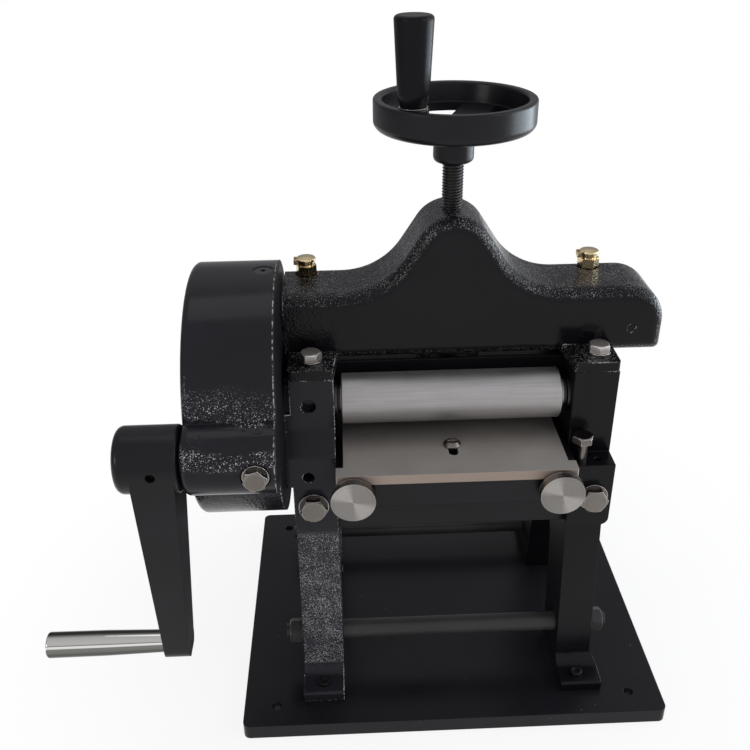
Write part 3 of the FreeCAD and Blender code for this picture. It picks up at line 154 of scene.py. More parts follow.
def axisOf(tree, vector, axis, place=(-700, -700)):
    parts = addNode(tree, "ShaderNodeSeparateXYZ", place)
    tree.links.new(vector, parts.inputs["Vector"])
    return parts.outputs[axis]


def rangeOf(tree, value, span, target=(0.0, 1.0), place=(-400, -700), kind="SMOOTHSTEP"):
    ramp = addNode(tree, "ShaderNodeMapRange", place, interpolation_type=kind)
    setInputs(tree, ramp, {
        "Value": value, "From Min": span[0], "From Max": span[1], "To Min": target[0], "To Max": target[1]})
    return ramp.outputs["Result"]


def noiseOf(tree, vector, scale, detail, place, result="Fac", roughness=0.5):
    noise = addNode(tree, "ShaderNodeTexNoise", place)
    setInputs(tree, noise, {"Vector": vector, "Scale": scale, "Detail": detail, "Roughness": roughness})
    return noise.outputs[result]


def mixed(tree, first, second, share, place, blend="MIX"):
    node = addNode(tree, "ShaderNodeMix", place, data_type="RGBA", blend_type=blend)
    setInputs(tree, node, {"A": first, "B": second, "Factor": share})
    return node.outputs["Result"]


def rampOf(tree, value, stops, place):
    ramp = addNode(tree, "ShaderNodeValToRGB", place)
    points = ramp.color_ramp.elements
    for position, color in stops[1:-1]:
        points.new(position)
    for point, (position, color) in zip(points, stops):
        point.position = position
        point.color = color
    feed(tree, ramp.inputs["Fac"], value)
    return ramp.outputs["Color"]


def mixShaders(tree, share, first, second, place):
    node = addNode(tree, "ShaderNodeMixShader", place)
    for socket, value in zip(node.inputs, (share, first, second)):
        tree.links.new(value, socket)
    return node.outputs["Shader"]


def background(tree, color, strength, place):
    node = addNode(tree, "ShaderNodeBackground", place)
    setInputs(tree, node, {"Color": color, "Strength": strength})
    return node.outputs["Background"]


def buildWorld():
    world = bpy.data.worlds.new("paleRoom")
    bpy.context.scene.world = world
    world.use_nodes = True
    tree = world.node_tree
    tree.nodes.clear()
    output = addNode(tree, "ShaderNodeOutputWorld", (900, 0))
    direction = addNode(tree, "ShaderNodeTexCoord", (-700, 0)).outputs["Generated"]
    share = {}
    for axis, height in (("X", 300), ("Y", 0), ("Z", -300)):
        part = axisOf(tree, direction, axis, (-500, height))
        share[axis] = rangeOf(tree, part, lightSetup["changes"][axis], place=(-300, height))
    wall = mixed(tree, lightSetup["roomBack"], lightSetup["roomAbove"], share["Z"], (-100, -300))
    shade = mixed(tree, lightSetup["roomFront"], wall, share["Y"], (-100, 0))
    around = mixed(tree, shade, lightSetup["roomRight"], share["X"], (50, 0))
    room = background(tree, around, lightSetup["roomStrength"], (200, -100))
    mirrored = background(tree, around, 1.0, (200, -220))
    white = background(tree, plainWhite, 1.0, (200, -340))
    path = addNode(tree, "ShaderNodeLightPath", (0, 300)).outputs
    seen = mathOf(tree, "ADD", path["Is Glossy Ray"], path["Is Transmission Ray"], (200, 200), clamp=True)
    inMetal = mixShaders(tree, seen, room, mirrored, (450, 0))
    inPicture = mixShaders(tree, path["Is Camera Ray"], inMetal, white, (650, 0))
    tree.links.new(inPicture, output.inputs["Surface"])


# floor: pale, with the machine's shadow near it and plain white further away
floorSetup = {
    "radius": 1.4,
    "drop": 0.0005,  # below the base plate
    "color": (0.93, 0.93, 0.93, 1.0),
    "roughness": 0.9,
    "whiteNear": 0.86,  # share of plain white at the machine's foot
    "fadeRadii": (0.17, 0.42),
}


def floorMaterial():
    material = bpy.data.materials.new("paleFloor")
    material.use_nodes = True
    tree = material.node_tree
    tree.nodes.clear()
    output = addNode(tree, "ShaderNodeOutputMaterial", (600, 0))
    matt = addNode(tree, "ShaderNodeBsdfPrincipled", (0, 0))
    setInputs(tree, matt, {"Base Color": floorSetup["color"], "Roughness": floorSetup["roughness"]})
    glow = addNode(tree, "ShaderNodeEmission", (0, -300))
    setInputs(tree, glow, {"Color": plainWhite, "Strength": 1.0})
    spot = addNode(tree, "ShaderNodeTexCoord", (-700, 600)).outputs["Object"]
    distance = vectorOf(tree, "LENGTH", spot, place=(-500, 600), result="Value")
    whiteness = rangeOf(tree, distance, floorSetup["fadeRadii"], (floorSetup["whiteNear"], 1.0), (-300, 600))
    path = addNode(tree, "ShaderNodeLightPath", (-700, 300)).outputs
    glossy = mathOf(tree, "ADD", path["Is Glossy Ray"], path["Is Transmission Ray"], (-500, 300), clamp=True)
    seen = mathOf(tree, "ADD", glossy, path["Is Camera Ray"], (-300, 300), clamp=True)
    share = mathOf(tree, "MULTIPLY", seen, whiteness, (200, 300))
    whole = mixShaders(tree, share, matt.outputs["BSDF"], glow.outputs["Emission"], (400, 0))
    tree.links.new(whole, output.inputs["Surface"])
    return material


def buildFloor():
    mesh = bpy.data.meshes.new("paleFloor")
    shape = bmesh.new()
    bmesh.ops.create_circle(shape, cap_ends=True, segments=96, radius=floorSetup["radius"])
    shape.to_mesh(mesh)
    shape.free()
    floor = bpy.data.objects.new("paleFloor", mesh)
    bpy.context.scene.collection.objects.link(floor)
    floor.location = (0.0, 0.0, -floorSetup["drop"])
    mesh.materials.append(floorMaterial())


buildCamera()
buildLights()
buildWorld()
buildFloor()
bpy.context.scene.view_settings.view_transform = "Standard"
print("camera, lights and floor ready")


def newGroup(name, inputs, outputs):
    group = bpy.data.node_groups.new(name, "ShaderNodeTree")
    for label, kind, value in inputs:
        socket = group.interface.new_socket(name=label, in_out="INPUT", socket_type=kind)
        socket.default_value = value
    for label, kind in outputs:
        group.interface.new_socket(name=label, in_out="OUTPUT", socket_type=kind)
    source = addNode(group, "NodeGroupInput", (-1000, 0))
    sink = addNode(group, "NodeGroupOutput", (900, 0))
    return group, source.outputs, sink


def buildHammerTone():
    # round-topped grains of two sizes over slow swells, as thick paint leaves on sand-cast iron
    group, given, sink = newGroup(
        "hammerTone",
        [("Vector", "NodeSocketVector", (0, 0, 0)), ("Cell Scale", "NodeSocketFloat", 420.0),
         ("Swell Scale", "NodeSocketFloat", 120.0), ("Swell Share", "NodeSocketFloat", 0.4)],
        [("Height", "NodeSocketFloat")])
    bend = noiseOf(group, given["Vector"], 300.0, 2.0, (-800, 350), "Color")
    bent = vectorOf(group, "MULTIPLY_ADD", bend, (0.002, 0.002, 0.002), (-650, 350), given["Vector"])
    cells = addNode(group, "ShaderNodeTexVoronoi", (-450, 350), feature="SMOOTH_F1")
    setInputs(group, cells, {"Vector": bent, "Scale": given["Cell Scale"], "Smoothness": 0.75})
    grain = noiseOf(group, given["Vector"], given["Cell Scale"], 2.0, (-450, 50))
    swell = noiseOf(group, given["Vector"], given["Swell Scale"], 2.0, (-450, -250))
    share = mathOf(group, "MULTIPLY", swell, given["Swell Share"], (-150, -150))
    total = mathOf(group, "ADD", cells.outputs["Distance"], share, (100, 0))
    whole = mathOf(group, "ADD", total, grain, (300, 0))
    setInputs(group, sink, {"Height": whole})
    return group


def buildSurfaceTone():
    # slow changes of tone and a few smudges
    group, given, sink = newGroup(
        "surfaceTone",
        [("Vector", "NodeSocketVector", (0, 0, 0)), ("Scale", "NodeSocketFloat", 14.0),
         ("Base", "NodeSocketColor", (0.5, 0.5, 0.5, 1)), ("Other", "NodeSocketColor", (0.6, 0.6, 0.6, 1)),
         ("Rough Low", "NodeSocketFloat", 0.2), ("Rough High", "NodeSocketFloat", 0.3)],
        [("Color", "NodeSocketColor"), ("Roughness", "NodeSocketFloat")])
    noise = noiseOf(group, given["Vector"], given["Scale"], 5.0, (-500, 100), roughness=0.62)
    spread = rangeOf(group, noise, (0.32, 0.68), place=(-250, 100), kind="LINEAR")
    rough = rangeOf(
        group, spread, (0.0, 1.0), (given["Rough Low"], given["Rough High"]), (50, -150), "LINEAR")
    setInputs(group, sink, {
        "Color": mixed(group, given["Base"], given["Other"], spread, (50, 150)), "Roughness": rough})
    return group


def buildCutLines():
    # fine tool marks: noise stretched along one direction
    group, given, sink = newGroup(
        "cutLines",
        [("Vector", "NodeSocketVector", (0, 0, 0)), ("Stretch", "NodeSocketVector", (1, 1, 1)),
         ("Scale", "NodeSocketFloat", 60.0)],
        [("Height", "NodeSocketFloat")])
    stretched = vectorOf(group, "MULTIPLY", given["Vector"], given["Stretch"], (-500, 0))
    lines = noiseOf(group, stretched, given["Scale"], 4.0, (-250, 0), roughness=0.7)
    setInputs(group, sink, {"Height": lines})
    return group


def buildDustSpecks():
    # a few tiny pale specks of dust or flaws in the paint
    group, given, sink = newGroup(
        "dustSpecks",
        [("Vector", "NodeSocketVector", (0, 0, 0)), ("Scale", "NodeSocketFloat", 120.0),
         ("Size", "NodeSocketFloat", 0.08), ("Rarity", "NodeSocketFloat", 0.93)],
        [("Mask", "NodeSocketFloat")])
    cells = addNode(group, "ShaderNodeTexVoronoi", (-500, 0))
    setInputs(group, cells, {"Vector": given["Vector"], "Scale": given["Scale"]})
    thin = addNode(group, "ShaderNodeSeparateColor", (-250, -200))
    setInputs(group, thin, {"Color": cells.outputs["Color"]})
    chosen = mathOf(group, "GREATER_THAN", thin.outputs["Red"], given["Rarity"], (0, -200))
    near = mathOf(group, "LESS_THAN", cells.outputs["Distance"], given["Size"], (0, 0))
    setInputs(group, sink, {"Mask": mathOf(group, "MULTIPLY", near, chosen, (250, 0))})
    return group


def buildTurnedRings():
    # a face turned in a lathe around an axis along Y: fine rings, and a painted reflection of the two bright
    # fans they mirror
    group, given, sink = newGroup(
        "turnedRings",
        [("Vector", "NodeSocketVector", (0, 0, 0)), ("Middle", "NodeSocketVector", (0, 0, 0)),
         ("Scale", "NodeSocketFloat", 900.0), ("Turn", "NodeSocketFloat", 0.8)],
        [("Height", "NodeSocketFloat"), ("Fan", "NodeSocketFloat")])
    apart = vectorOf(group, "SUBTRACT", given["Vector"], given["Middle"], (-700, 0))
    flat = vectorOf(group, "MULTIPLY", apart, (1, 0, 1), (-400, 0))
    radius = vectorOf(group, "LENGTH", flat, place=(-200, 0), result="Value")
    rings = addNode(group, "ShaderNodeTexNoise", (50, 0), noise_dimensions="1D")
    setInputs(group, rings, {"W": radius, "Scale": given["Scale"], "Detail": 3.0})
    rise = axisOf(group, apart, "Z", (-500, -250))
    aside = axisOf(group, apart, "X", (-500, -400))
    angle = mathOf(group, "ARCTAN2", rise, aside, (-300, -250))
    turned = mathOf(group, "ADD", angle, given["Turn"], (-100, -250))
    wave = mathOf(group, "ABSOLUTE", mathOf(group, "COSINE", turned, place=(100, -250)), place=(300, -250))
    setInputs(group, sink, {
        "Height": rings.outputs["Fac"], "Fan": mathOf(group, "POWER", wave, 4.0, (500, -250))})
    return group


def buildPaintedGrainGlints():
    # painted glints: spots on the grain tops made lighter in colour, standing in for highlights where gloss
    # paint lies on a rough casting
    group, given, sink = newGroup(
        "paintedGrainGlints",
        [("Vector", "NodeSocketVector", (0, 0, 0)), ("Scale", "NodeSocketFloat", 900.0),
         ("Share", "NodeSocketFloat", 0.5)],
        [("Mask", "NodeSocketFloat")])
    grain = noiseOf(group, given["Vector"], given["Scale"], 1.0, (-600, 100))
    patch = noiseOf(group, given["Vector"], 70.0, 2.0, (-600, -200))
    uneven = mathOf(group, "MULTIPLY_ADD", patch, 0.25, (-400, -200), given["Share"])
    total = mathOf(group, "ADD", grain, uneven, (-200, 0))
    setInputs(group, sink, {"Mask": rangeOf(group, total, (1.23, 1.33), place=(50, 0), kind="LINEAR")})
    return group


def buildEdgeGlints():
    # painted glints: spots along sharp edges made lighter in colour, standing in for highlights where paint
    # runs thin over a rough edge
    group, given, sink = newGroup(
        "edgeGlints",
        [("Vector", "NodeSocketVector", (0, 0, 0)), ("Radius", "NodeSocketFloat", 0.0012),
         ("Grain", "NodeSocketFloat", 900.0), ("Share", "NodeSocketFloat", 0.5)],
        [("Mask", "NodeSocketFloat")])
    soft = addNode(group, "ShaderNodeBevel", (-700, 200), samples=6)
    setInputs(group, soft, {"Radius": given["Radius"]})
    hard = addNode(group, "ShaderNodeNewGeometry", (-700, 0))
    same = vectorOf(
        group, "DOT_PRODUCT", soft.outputs["Normal"], hard.outputs["Normal"], (-500, 100), result="Value")
    rim = rangeOf(group, same, (0.99, 0.90), place=(-300, 100), kind="LINEAR")
    grain = noiseOf(group, given["Vector"], given["Grain"], 2.0, (-700, -250))
    patch = noiseOf(group, given["Vector"], 45.0, 1.0, (-700, -500))
    total = mathOf(
        group, "ADD", mathOf(group, "ADD", grain, patch, (-450, -350)), given["Share"], (-250, -350))
    spots = rangeOf(group, total, (1.56, 1.68), place=(-50, -350), kind="LINEAR")
    setInputs(group, sink, {"Mask": mathOf(group, "MULTIPLY", rim, spots, (200, 0))})
    return group


groups = {
    "turnedRings": buildTurnedRings(),
    "hammerTone": buildHammerTone(),
    "surfaceTone": buildSurfaceTone(),
    "cutLines": buildCutLines(),
    "dustSpecks": buildDustSpecks(),
    "edgeGlints": buildEdgeGlints(),
    "paintedGrainGlints": buildPaintedGrainGlints(),
}
print("shared effects:", ", ".join(sorted(groups)))


def startMaterial(name):
    material = bpy.data.materials.new(name)
    material.use_nodes = True
    tree = material.node_tree
    tree.nodes.clear()
    output = addNode(tree, "ShaderNodeOutputMaterial", (900, 0))
    shader = addNode(tree, "ShaderNodeBsdfPrincipled", (550, 0))
    tree.links.new(shader.outputs["BSDF"], output.inputs["Surface"])
    place = addNode(tree, "ShaderNodeTexCoord", (-1300, 0))
    return material, tree, shader, place.outputs["Object"]


def useGroup(tree, name, place, values):
    node = addNode(tree, "ShaderNodeGroup", place, node_tree=groups[name])
    setInputs(tree, node, values)
    return node.outputs


def grey(value, warm=0.0):
    return (value * (1 + warm), value, value * (1 - warm), 1.0)


def inky(value):
    # the black paint leans a little to violet
    return (value * 1.05, value * 0.95, value * 1.22, 1.0)


def reliefOf(tree, height, strength, distance, edgeRadius):
    # soft edges, so that they catch the light as cast and painted ones do
    soft = addNode(tree, "ShaderNodeBevel", (0, -700), samples=6)
    setInputs(tree, soft, {"Radius": edgeRadius})
    bump = addNode(tree, "ShaderNodeBump", (250, -300))
    setInputs(tree, bump, {
        "Height": height, "Strength": strength, "Distance": distance, "Normal": soft.outputs["Normal"]})
    return bump.outputs["Normal"]


def facingAlong(tree, axis, place):
    # how far a face looks along the axis, to either end
    facing = addNode(tree, "ShaderNodeNewGeometry", place)
    toward = axisOf(tree, facing.outputs["True Normal"], axis, (place[0] + 200, place[1]))
    return mathOf(tree, "ABSOLUTE", toward, place=(place[0] + 400, place[1]))


# how squarely a face looks along the axis where it is fully rubbed or dull, and where it is not at all
facingSpans = {"rubbed": (0.985, 0.9), "dull": (0.95, 0.85)}


def offYFaces(tree, level, place=(-900, -900)):
    # 1 everywhere but on faces that look along Y; on castings these were rubbed down before painting
    toward = facingAlong(tree, "Y", place)
    return rangeOf(tree, toward, facingSpans["rubbed"], (level, 1.0), (place[0] + 600, place[1]))


def dulledSides(tree, roughness, level, place=(-900, 850)):
    # faces that look to the left or right are less glossy
    toward = facingAlong(tree, "X", place)
    side = rangeOf(tree, toward, facingSpans["dull"], (level, 0.0), (place[0] + 600, place[1]), "LINEAR")
    return mathOf(tree, "MAXIMUM", side, roughness, (place[0] + 800, place[1]))


# what all painted pieces share
paintLook = {
    "toneScale": 16.0,
    "edgeRadius": 0.0009,
    "reliefHeight": 0.0006,
    "swellShare": 0.6,
    "swellSize": 3.0,  # a swell's width in grains
    "speckTone": grey(0.45),
    "speckSize": 0.05,
    "glintTone": grey(0.75),
    "sparkleScale": 1300.0,
    "sparkleStarts": (0.45, 0.95),  # how rough the skin is where the first painted glints appear, and where all do
}


def enamel(name, base, other, rough, relief=0.05, cellScale=460.0, specks=0.0, specular=0.2, hammered=None,
           roughSheenTone=None, glints=0.0, glintsWhere=None, paintedSparkle=0.0, paintedSparkleShare=0.5, dullSides=0.0):
    material, tree, shader, vector = startMaterial(name)
    tone = useGroup(tree, "surfaceTone", (-500, 200), {
        "Vector": vector, "Scale": paintLook["toneScale"], "Base": base, "Other": other,
        "Rough Low": rough[0], "Rough High": rough[1]})
    color, roughness = tone["Color"], tone["Roughness"]
    height = useGroup(tree, "hammerTone", (-500, -350), {
        "Vector": vector, "Cell Scale": cellScale, "Swell Scale": cellScale / paintLook["swellSize"],
        "Swell Share": paintLook["swellShare"]})["Height"]
    if specks:
        dust = useGroup(tree, "dustSpecks", (-500, -100), {
            "Vector": vector, "Scale": specks, "Size": paintLook["speckSize"]})
        color = mixed(tree, color, paintLook["speckTone"], dust["Mask"], (-200, 100))
    if glintsWhere:
        color = mixed(tree, color, paintLook["glintTone"], glintsWhere(tree, vector), (0, 450))
    elif glints:
        rims = useGroup(tree, "edgeGlints", (-500, 500), {"Vector": vector, "Share": glints})
        # painted highlight: glints painted along the edges
        color = mixed(tree, color, paintLook["glintTone"], rims["Mask"], (0, 450))
    if dullSides:
        roughness = dulledSides(tree, roughness, dullSides)
    if hammered:
        mask = hammered(tree, vector)
        height = mathOf(tree, "MULTIPLY", height, mask, (80, -450))
        if roughSheenTone:
            # painted sheen: the rough skin is given a lighter colour
            color = mixed(tree, color, roughSheenTone, mask, (100, 250))
        if paintedSparkle:
            tops = useGroup(tree, "paintedGrainGlints", (-500, 700), {
                "Vector": vector, "Share": paintedSparkleShare, "Scale": paintLook["sparkleScale"]})
            skin = rangeOf(tree, mask, paintLook["sparkleStarts"], place=(-350, 850))
            lit = mathOf(tree, "MULTIPLY", tops["Mask"], skin, (-200, 750))
            # painted highlight: grain tops on the rough skin are lighter in colour, as glints
            color = mixed(tree, color, grey(paintedSparkle), lit, (250, 350))
    setInputs(tree, shader, {
        "Base Color": color, "Roughness": roughness, "Specular IOR Level": specular,
        "Normal": reliefOf(tree, height, relief, paintLook["reliefHeight"], paintLook["edgeRadius"])})
    return material


bridgeSkin = {
    "rubbed": 0.04,  # how rough the rubbed faces are still
    "leftRough": 0.30,
    "leftEnds": (-0.075, -0.02),  # the left end's roughness fades out between these
}


def bridgeHammer(tree, vector):
    # the front and back are rubbed down, but less so at the left end
    end = rangeOf(tree, axisOf(tree, vector, "X"), bridgeSkin["leftEnds"], (bridgeSkin["leftRough"], 0.0))
    return mathOf(tree, "ADD", offYFaces(tree, bridgeSkin["rubbed"]), end, (-150, -800), clamp=True)


# upwards, the left leg turns rough over the first heights and smooth again over the second
leftLegSkin = {"roughFrom": (0.022, 0.030), "smoothFrom": (0.136, 0.150), "smooth": 0.06}


def leftLegHammer(tree, vector):
    # the left leg's front is rough, its head and boss are smooth
    height = axisOf(tree, vector, "Z")
    low = rangeOf(tree, height, leftLegSkin["smoothFrom"], (1.0, leftLegSkin["smooth"]))
    toe = rangeOf(tree, height, leftLegSkin["roughFrom"], place=(-400, -900))
    return mathOf(tree, "MULTIPLY", low, toe, (-150, -800))


# gear cover: how rough its skin is at each height, and the painted highlight line on its rim beside the side
# frame
coverSkin = {
    "low": 0.200,  # the bands start at this height
    "span": 0.100,
    "wander": 0.022,  # how far a band's edge can wander up or down in all
    "wanderScale": 34.0,
    "bands": [(0.212, 0.35), (0.222, 0.06), (0.2415, 0.06), (0.245, 0.9), (0.2535, 0.9), (0.2585, 0.06),
              (0.2640, 0.06), (0.2665, 0.80), (0.280, 0.62), (0.299, 0.04)],
    "calm": 0.03,
    "backFrom": (-0.05, -0.02),  # the rough skin ends between these, from the front to the back
    "flatFace": (-0.95, -0.80),  # a face that looks this far to the left is smooth
    "lineStarts": (-0.11610, -0.11580),  # just left of the rim's end
    "lineEnds": (-0.11545, -0.11515),
    "lineFront": (-0.03, 0.0),
    "lineGrain": 420.0,
    "lineBreaks": (0.44, 0.60),
    "lineShare": 0.5,
}


def coverRimGlint(tree, vector):
    # painted highlight: a broken bright line along the front of the rim, standing in for glints
    across = axisOf(tree, vector, "X", (-700, 900))
    rise = rangeOf(tree, across, coverSkin["lineStarts"], place=(-450, 900))
    fall = rangeOf(tree, across, coverSkin["lineEnds"], (1.0, 0.0), (-450, 1050))
    depth = axisOf(tree, vector, "Y", (-700, 1200))
    front = rangeOf(tree, depth, coverSkin["lineFront"], (1.0, 0.0), (-450, 1200))
    grain = noiseOf(tree, vector, coverSkin["lineGrain"], 5.0, (-700, 1400))
    broken = rangeOf(tree, grain, coverSkin["lineBreaks"], (0.0, coverSkin["lineShare"]), (-450, 1400))
    line = mathOf(tree, "MULTIPLY", rise, fall, (-250, 950))
    return mathOf(tree, "MULTIPLY", mathOf(tree, "MULTIPLY", line, front, (-100, 1050)), broken, (50, 1150))


def coverHammer(tree, vector):
    # rough low on the drum, along the top of the nose and a little below it, and only at the front
    low, span, wander, calm = (coverSkin[key] for key in ("low", "span", "wander", "calm"))
    noise = noiseOf(tree, vector, coverSkin["wanderScale"], 4.0, (-1100, -700))
    height = axisOf(tree, vector, "Z", (-1100, -900))
    height = mathOf(tree, "MULTIPLY_ADD", noise, wander, (-900, -700), height)
    lowest = low + wander / 2.0
    place = rangeOf(tree, height, (lowest, lowest + span), place=(-700, -700), kind="LINEAR")
    stops = [((z - low) / span, grey(level)) for z, level in coverSkin["bands"]]
    bands = rampOf(tree, place, stops, (-500, -700))
    depth = axisOf(tree, vector, "Y", (-700, -1100))
    front = rangeOf(tree, depth, coverSkin["backFrom"], (1.0, calm), (-450, -1100))
    facing = addNode(tree, "ShaderNodeNewGeometry", (-900, -1300))
    sideways = axisOf(tree, facing.outputs["True Normal"], "X", (-700, -1300))
    offFlatFace = rangeOf(tree, sideways, coverSkin["flatFace"], (calm, 1.0), (-450, -1300))
    rough = mathOf(tree, "MULTIPLY", bands, front, (-200, -900))
    return mathOf(tree, "MULTIPLY", rough, offFlatFace, (0, -1000))


def shaded(tree, color, mask, share, place):
    # lighter where the mask is high
    above = (place[0] - 200, place[1] + 150)
    level = rangeOf(tree, mask, (0.25, 0.75), (1.0 - share, 1.0 + share), above, "LINEAR")
    return mixed(tree, color, level, 1.0, place, "MULTIPLY")


# what all bare metal pieces share
metalLook = {
    "toneScale": 18.0,
    "edgeRadius": 0.0003,
    "markHeight": 0.0002,
    "wornRadius": 0.0007,
    "wornShare": 1.5,  # past the range of the spots, so the whole edge is worn
}
knobLook = {
    "ringScale": 2600.0,
    "ringDepth": 0.35,
    "ringShade": 0.26,
    "paintedFanShare": 0.24,
    "streak": 0.92,  # lathe marks stretch the highlights across them
}
# painted reflection: the polished grip's colour holds the room's mirrored bands, the shade at each lean of
# its surface, from below to above
paintedChromeBands = {
    "bands": [
        (0.00, 0.06), (0.06, 0.10), (0.12, 0.16), (0.31, 0.20), (0.34, 0.80), (0.45, 0.90), (0.48, 0.18),
        (0.51, 0.28), (0.54, 0.50), (0.88, 0.54), (0.93, 0.30), (0.96, 0.05), (1.00, 0.04)],
    "above": (0.0, 0.616, 0.788),
    "blueShare": 0.93,
}


def paintedReflectionBands(tree, look):
    facing = addNode(tree, "ShaderNodeNewGeometry", (-900, 700))
    lean = vectorOf(tree, "DOT_PRODUCT", facing.outputs["Normal"], look["above"], (-700, 700), result="Value")
    place = rangeOf(tree, lean, (-1.0, 1.0), place=(-500, 700))
    stops = [(position, (level, level, level * look["blueShare"], 1.0)) for position, level in look["bands"]]
    return rampOf(tree, place, stops, (-250, 700))


def metal(name, base, other, rough, stretch=(1.0, 1.0, 1.0), lineScale=90.0, lineDepth=0.1, lineShade=0.0,
          ringsAt=None, bands=None, edgeLight=None, edgeToneAndShade=None, endShade=None):
    material, tree, shader, vector = startMaterial(name)
    tone = useGroup(tree, "surfaceTone", (-500, 200), {
        "Vector": vector, "Scale": metalLook["toneScale"], "Base": base, "Other": other,
        "Rough Low": rough[0], "Rough High": rough[1]})
    color = tone["Color"]
    if ringsAt:
        marks = useGroup(tree, "turnedRings", (-500, -250), {
            "Vector": vector, "Scale": knobLook["ringScale"], "Middle": ringsAt})
        # painted reflection: the hourglass fans lighten and darken the colour
        color = shaded(tree, color, marks["Fan"], knobLook["paintedFanShare"], (-150, 350))
        around = addNode(tree, "ShaderNodeTangent", (250, -550), direction_type="RADIAL", axis="Y")
        setInputs(tree, shader, {"Anisotropic": knobLook["streak"], "Tangent": around.outputs["Tangent"]})
    else:
        marks = useGroup(tree, "cutLines", (-500, -250), {
            "Vector": vector, "Scale": lineScale, "Stretch": stretch})
    if lineShade:
        color = shaded(tree, color, marks["Height"], lineShade, (50, 350))
    if bands:
        # painted reflection: the colour is set by how the surface leans
        color = paintedReflectionBands(tree, bands)
    if edgeLight:
        # chamfers and corners lighter: partly wear, partly a painted highlight
        rims = useGroup(tree, "edgeGlints", (-500, 850), {
            "Vector": vector, "Share": metalLook["wornShare"], "Radius": metalLook["wornRadius"]})
        color = mixed(tree, color, edgeLight, rims["Mask"], (250, 500))
    if edgeToneAndShade:
        # the plate's front and back edges are browner and darker: partly their own tone, partly painted shade
        color = mixed(tree, edgeToneAndShade, color, offYFaces(tree, 0.0, (-900, 1000)), (200, 650))
    if endShade:
        # painted shade: past the barrel's ends the steel is darkened, where the journals sit in the side
        # frames
        reach, fade, shadeTone = endShade
        along = mathOf(tree, "ABSOLUTE", axisOf(tree, vector, "X", (-700, 600)), place=(-550, 600))
        beyond = rangeOf(tree, along, (reach, reach + fade), place=(-400, 600))
        color = mixed(tree, color, shadeTone, beyond, (100, 400))
    relief = reliefOf(tree, marks["Height"], lineDepth, metalLook["markHeight"], metalLook["edgeRadius"])
    setInputs(tree, shader, {
        "Base Color": color, "Roughness": tone["Roughness"], "Metallic": 1.0, "Normal": relief})
    return material


# one finish for each material slot of the record
finishes = {
    "casting_black": enamel(
        "castingBlack", inky(0.0035), inky(0.0055), (0.18, 0.26), specular=0.16, dullSides=0.5),
    "base_gloss": enamel("baseGloss", inky(0.007), inky(0.010), (0.26, 0.34), specks=260.0, specular=0.16),
    "smooth_black": enamel("smoothBlack", inky(0.005), inky(0.008), (0.26, 0.34)),
    # painted light: the black rods get a much lighter tone than the other black paint, to lift them out of
    # the machine's shadow
    "rod_black": enamel("rodBlack", grey(0.032), grey(0.042), (0.34, 0.42)),
    "handle_black": enamel("handleBlack", inky(0.005), inky(0.007), (0.26, 0.32), specular=0.10),
    "roller_steel": metal(
        "rollerSteel", grey(0.34, 0.02), grey(0.40, 0.02), (0.46, 0.54), (1, 60, 60), 24.0, 0.08, 0.16,
        endShade=(0.0765, 0.0003, grey(0.05))),
    "table_steel": metal(
        "tableSteel", grey(0.40, 0.07), grey(0.44, 0.06), (0.56, 0.62), (2, 60, 60), 20.0, 0.06, 0.04,
        edgeToneAndShade=(0.33, 0.27, 0.23, 1.0)),
    "knob_aluminium": metal("knobAluminium", grey(0.32, 0.04), grey(0.38, 0.04), (0.28, 0.34)),
    "zinc_steel": metal(
        "zincSteel", grey(0.12, 0.10), grey(0.18, 0.10), (0.22, 0.34), edgeLight=grey(0.62, 0.03)),
    "brass": metal("paleBrass", (0.62, 0.49, 0.27, 1), (0.72, 0.59, 0.36, 1), (0.14, 0.24)),
    # painted shade: this bronze is made far darker than bare bronze, standing in for the shade it sits in
    "bronze": metal("bronze", (0.10, 0.06, 0.03, 1), (0.13, 0.08, 0.04, 1), (0.4, 0.5)),
    "grip_chrome": metal(
        "gripChrome", grey(0.52, 0.02), grey(0.56, 0.02), (0.04, 0.08), lineDepth=0.02, bands=paintedChromeBands),
    "screw_steel": metal("screwSteel", grey(0.05), grey(0.08), (0.26, 0.36)),
    "gear_steel": metal("gearSteel", grey(0.30), grey(0.38), (0.32, 0.42)),
    "blade_steel": metal("bladeSteel", grey(0.50), grey(0.58), (0.16, 0.24), (1, 50, 50), 40.0, 0.08),
}


def turnedKnob(node):
    low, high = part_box(node)
    middle = tuple((low[axis] + high[axis]) / 2.0 for axis in range(3))
    return metal(
        node, grey(0.25, 0.05), grey(0.30, 0.05), (0.26, 0.34), ringsAt=middle,
        lineDepth=knobLook["ringDepth"], lineShade=knobLook["ringShade"])


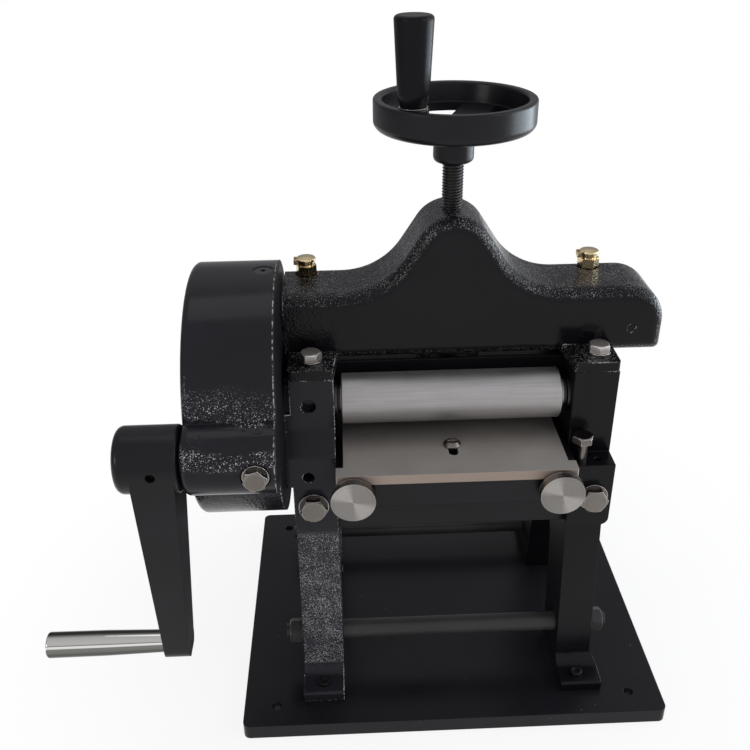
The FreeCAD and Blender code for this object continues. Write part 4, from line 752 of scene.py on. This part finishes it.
# nodes whose finish differs from the rest of their slot
roughCasting = {"rough": (0.12, 0.20), "specular": 0.16, "cellScale": 600.0}
ownFinishes = {
    "bridge": enamel(
        "bridgeBlack", inky(0.0035), inky(0.0055), **roughCasting, relief=0.7, hammered=bridgeHammer,
        glints=0.5, paintedSparkle=0.26),
    # painted light: the left frame is a lighter copy of the black casting paint, and lighter still where its
    # skin is rough
    "left_side_frame": enamel(
        "leftFrameBlack", inky(0.014), inky(0.018), **roughCasting, relief=0.9, hammered=leftLegHammer,
        roughSheenTone=inky(0.026), glints=0.5, paintedSparkle=0.30, paintedSparkleShare=0.56),
    # painted light: the gear cover is a lighter copy of the black casting paint
    "gear_cover": enamel(
        "coverBlack", inky(0.010), inky(0.014), **roughCasting, relief=0.9, hammered=coverHammer,
        glintsWhere=coverRimGlint, paintedSparkle=0.75, dullSides=0.6),
    "crank_arm": enamel("armBlack", inky(0.005), inky(0.008), (0.26, 0.34), dullSides=0.6),
    # painted light: the lug bolts get a much lighter copy of the zinc finish, to lift them out of the
    # bridge's shade
    "bridge_bolts": metal(
        "boltZinc", grey(0.46, 0.06), grey(0.56, 0.06), (0.40, 0.50), edgeLight=grey(0.85, 0.03)),
    "left_thumb_screw": turnedKnob("left_thumb_screw"),
    "right_thumb_screw": turnedKnob("right_thumb_screw"),
}


def dressCadNodes():
    slots = {part["node"]: part["material_slot"] for part in frame["record"]["subparts"]}
    for name, node in nodes.items():
        material = ownFinishes.get(name, finishes[slots[name]])
        if not node.material_slots:
            node.data.materials.append(material)
        for slot in node.material_slots:
            slot.material = material


dressCadNodes()
print("materials on", len(nodes), "nodes")


# adjusting screw: a real helix where the source has rings
screwShape = {
    "radius": 0.007,
    "rootDepth": 0.0011,
    "pitch": 0.002,
    "collarHeight": 0.005,
    "plainFoot": 0.004,
    "plainTop": 0.019,  # inside the hub
    "segments": 40,
    "rowsPerPitch": 8,
    "crestShare": 0.16,
    "rootShare": 0.20,
}


def threadDepth(turns):
    # depth below the crest at a phase from 0 to 1: crest, flank, root, flank
    phase = turns % 1.0
    crest, root = screwShape["crestShare"], screwShape["rootShare"]
    flank = (1.0 - crest - root) / 2.0
    if phase < crest:
        return 0.0
    if phase < crest + flank:
        return (phase - crest) / flank
    if phase < crest + flank + root:
        return 1.0
    return (1.0 - phase) / flank


def meshPiece(name, shape, body, slot, replaced):
    mesh = bpy.data.meshes.new(name)
    bmesh.ops.recalc_face_normals(shape, faces=shape.faces)
    shape.to_mesh(mesh)
    shape.free()
    piece = bpy.data.objects.new(name, mesh)
    bpy.context.scene.collection.objects.link(piece)
    mesh.materials.append(finishes[slot])
    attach(piece, body)
    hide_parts(*replaced)


def buildAdjustingScrew():
    low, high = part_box("adjusting_screw")
    x, y = (low[0] + high[0]) / 2.0, (low[1] + high[1]) / 2.0
    collar = (high[0] - low[0]) / 2.0
    radius, count = screwShape["radius"], screwShape["segments"]
    neck = low[2] + screwShape["collarHeight"]
    threadLow, threadHigh = neck + screwShape["plainFoot"], high[2] - screwShape["plainTop"]
    step = screwShape["pitch"] / screwShape["rowsPerPitch"]
    levels = [(low[2], collar, 0.0), (neck, collar, 0.0), (neck, radius, 0.0), (threadLow, radius, 0.0)]
    rows = int((threadHigh - threadLow) / step)
    for row in range(1, rows):
        fade = min(1.0, row / screwShape["rowsPerPitch"], (rows - row) / screwShape["rowsPerPitch"])
        levels.append((threadLow + row * step, radius, fade))
    levels += [(threadHigh, radius, 0.0), (high[2], radius, 0.0)]
    shape = bmesh.new()
    rings = []
    for z, reach, fade in levels:
        ring = []
        for k in range(count):
            share = k / count
            depth = threadDepth(z / screwShape["pitch"] - share) * screwShape["rootDepth"] * fade
            angle = 2.0 * math.pi * share
            ring.append(shape.verts.new((
                x + (reach - depth) * math.cos(angle), y + (reach - depth) * math.sin(angle), z)))
        rings.append(ring)
    for below, above in zip(rings, rings[1:]):
        for k in range(count):
            shape.faces.new((below[k], below[(k + 1) % count], above[(k + 1) % count], above[k]))
    shape.faces.new(list(reversed(rings[0])))
    shape.faces.new(rings[-1])
    meshPiece("helicalScrew", shape, "screw", "screw_steel", ["adjusting_screw"])


buildAdjustingScrew()
print("adjusting screw cut")
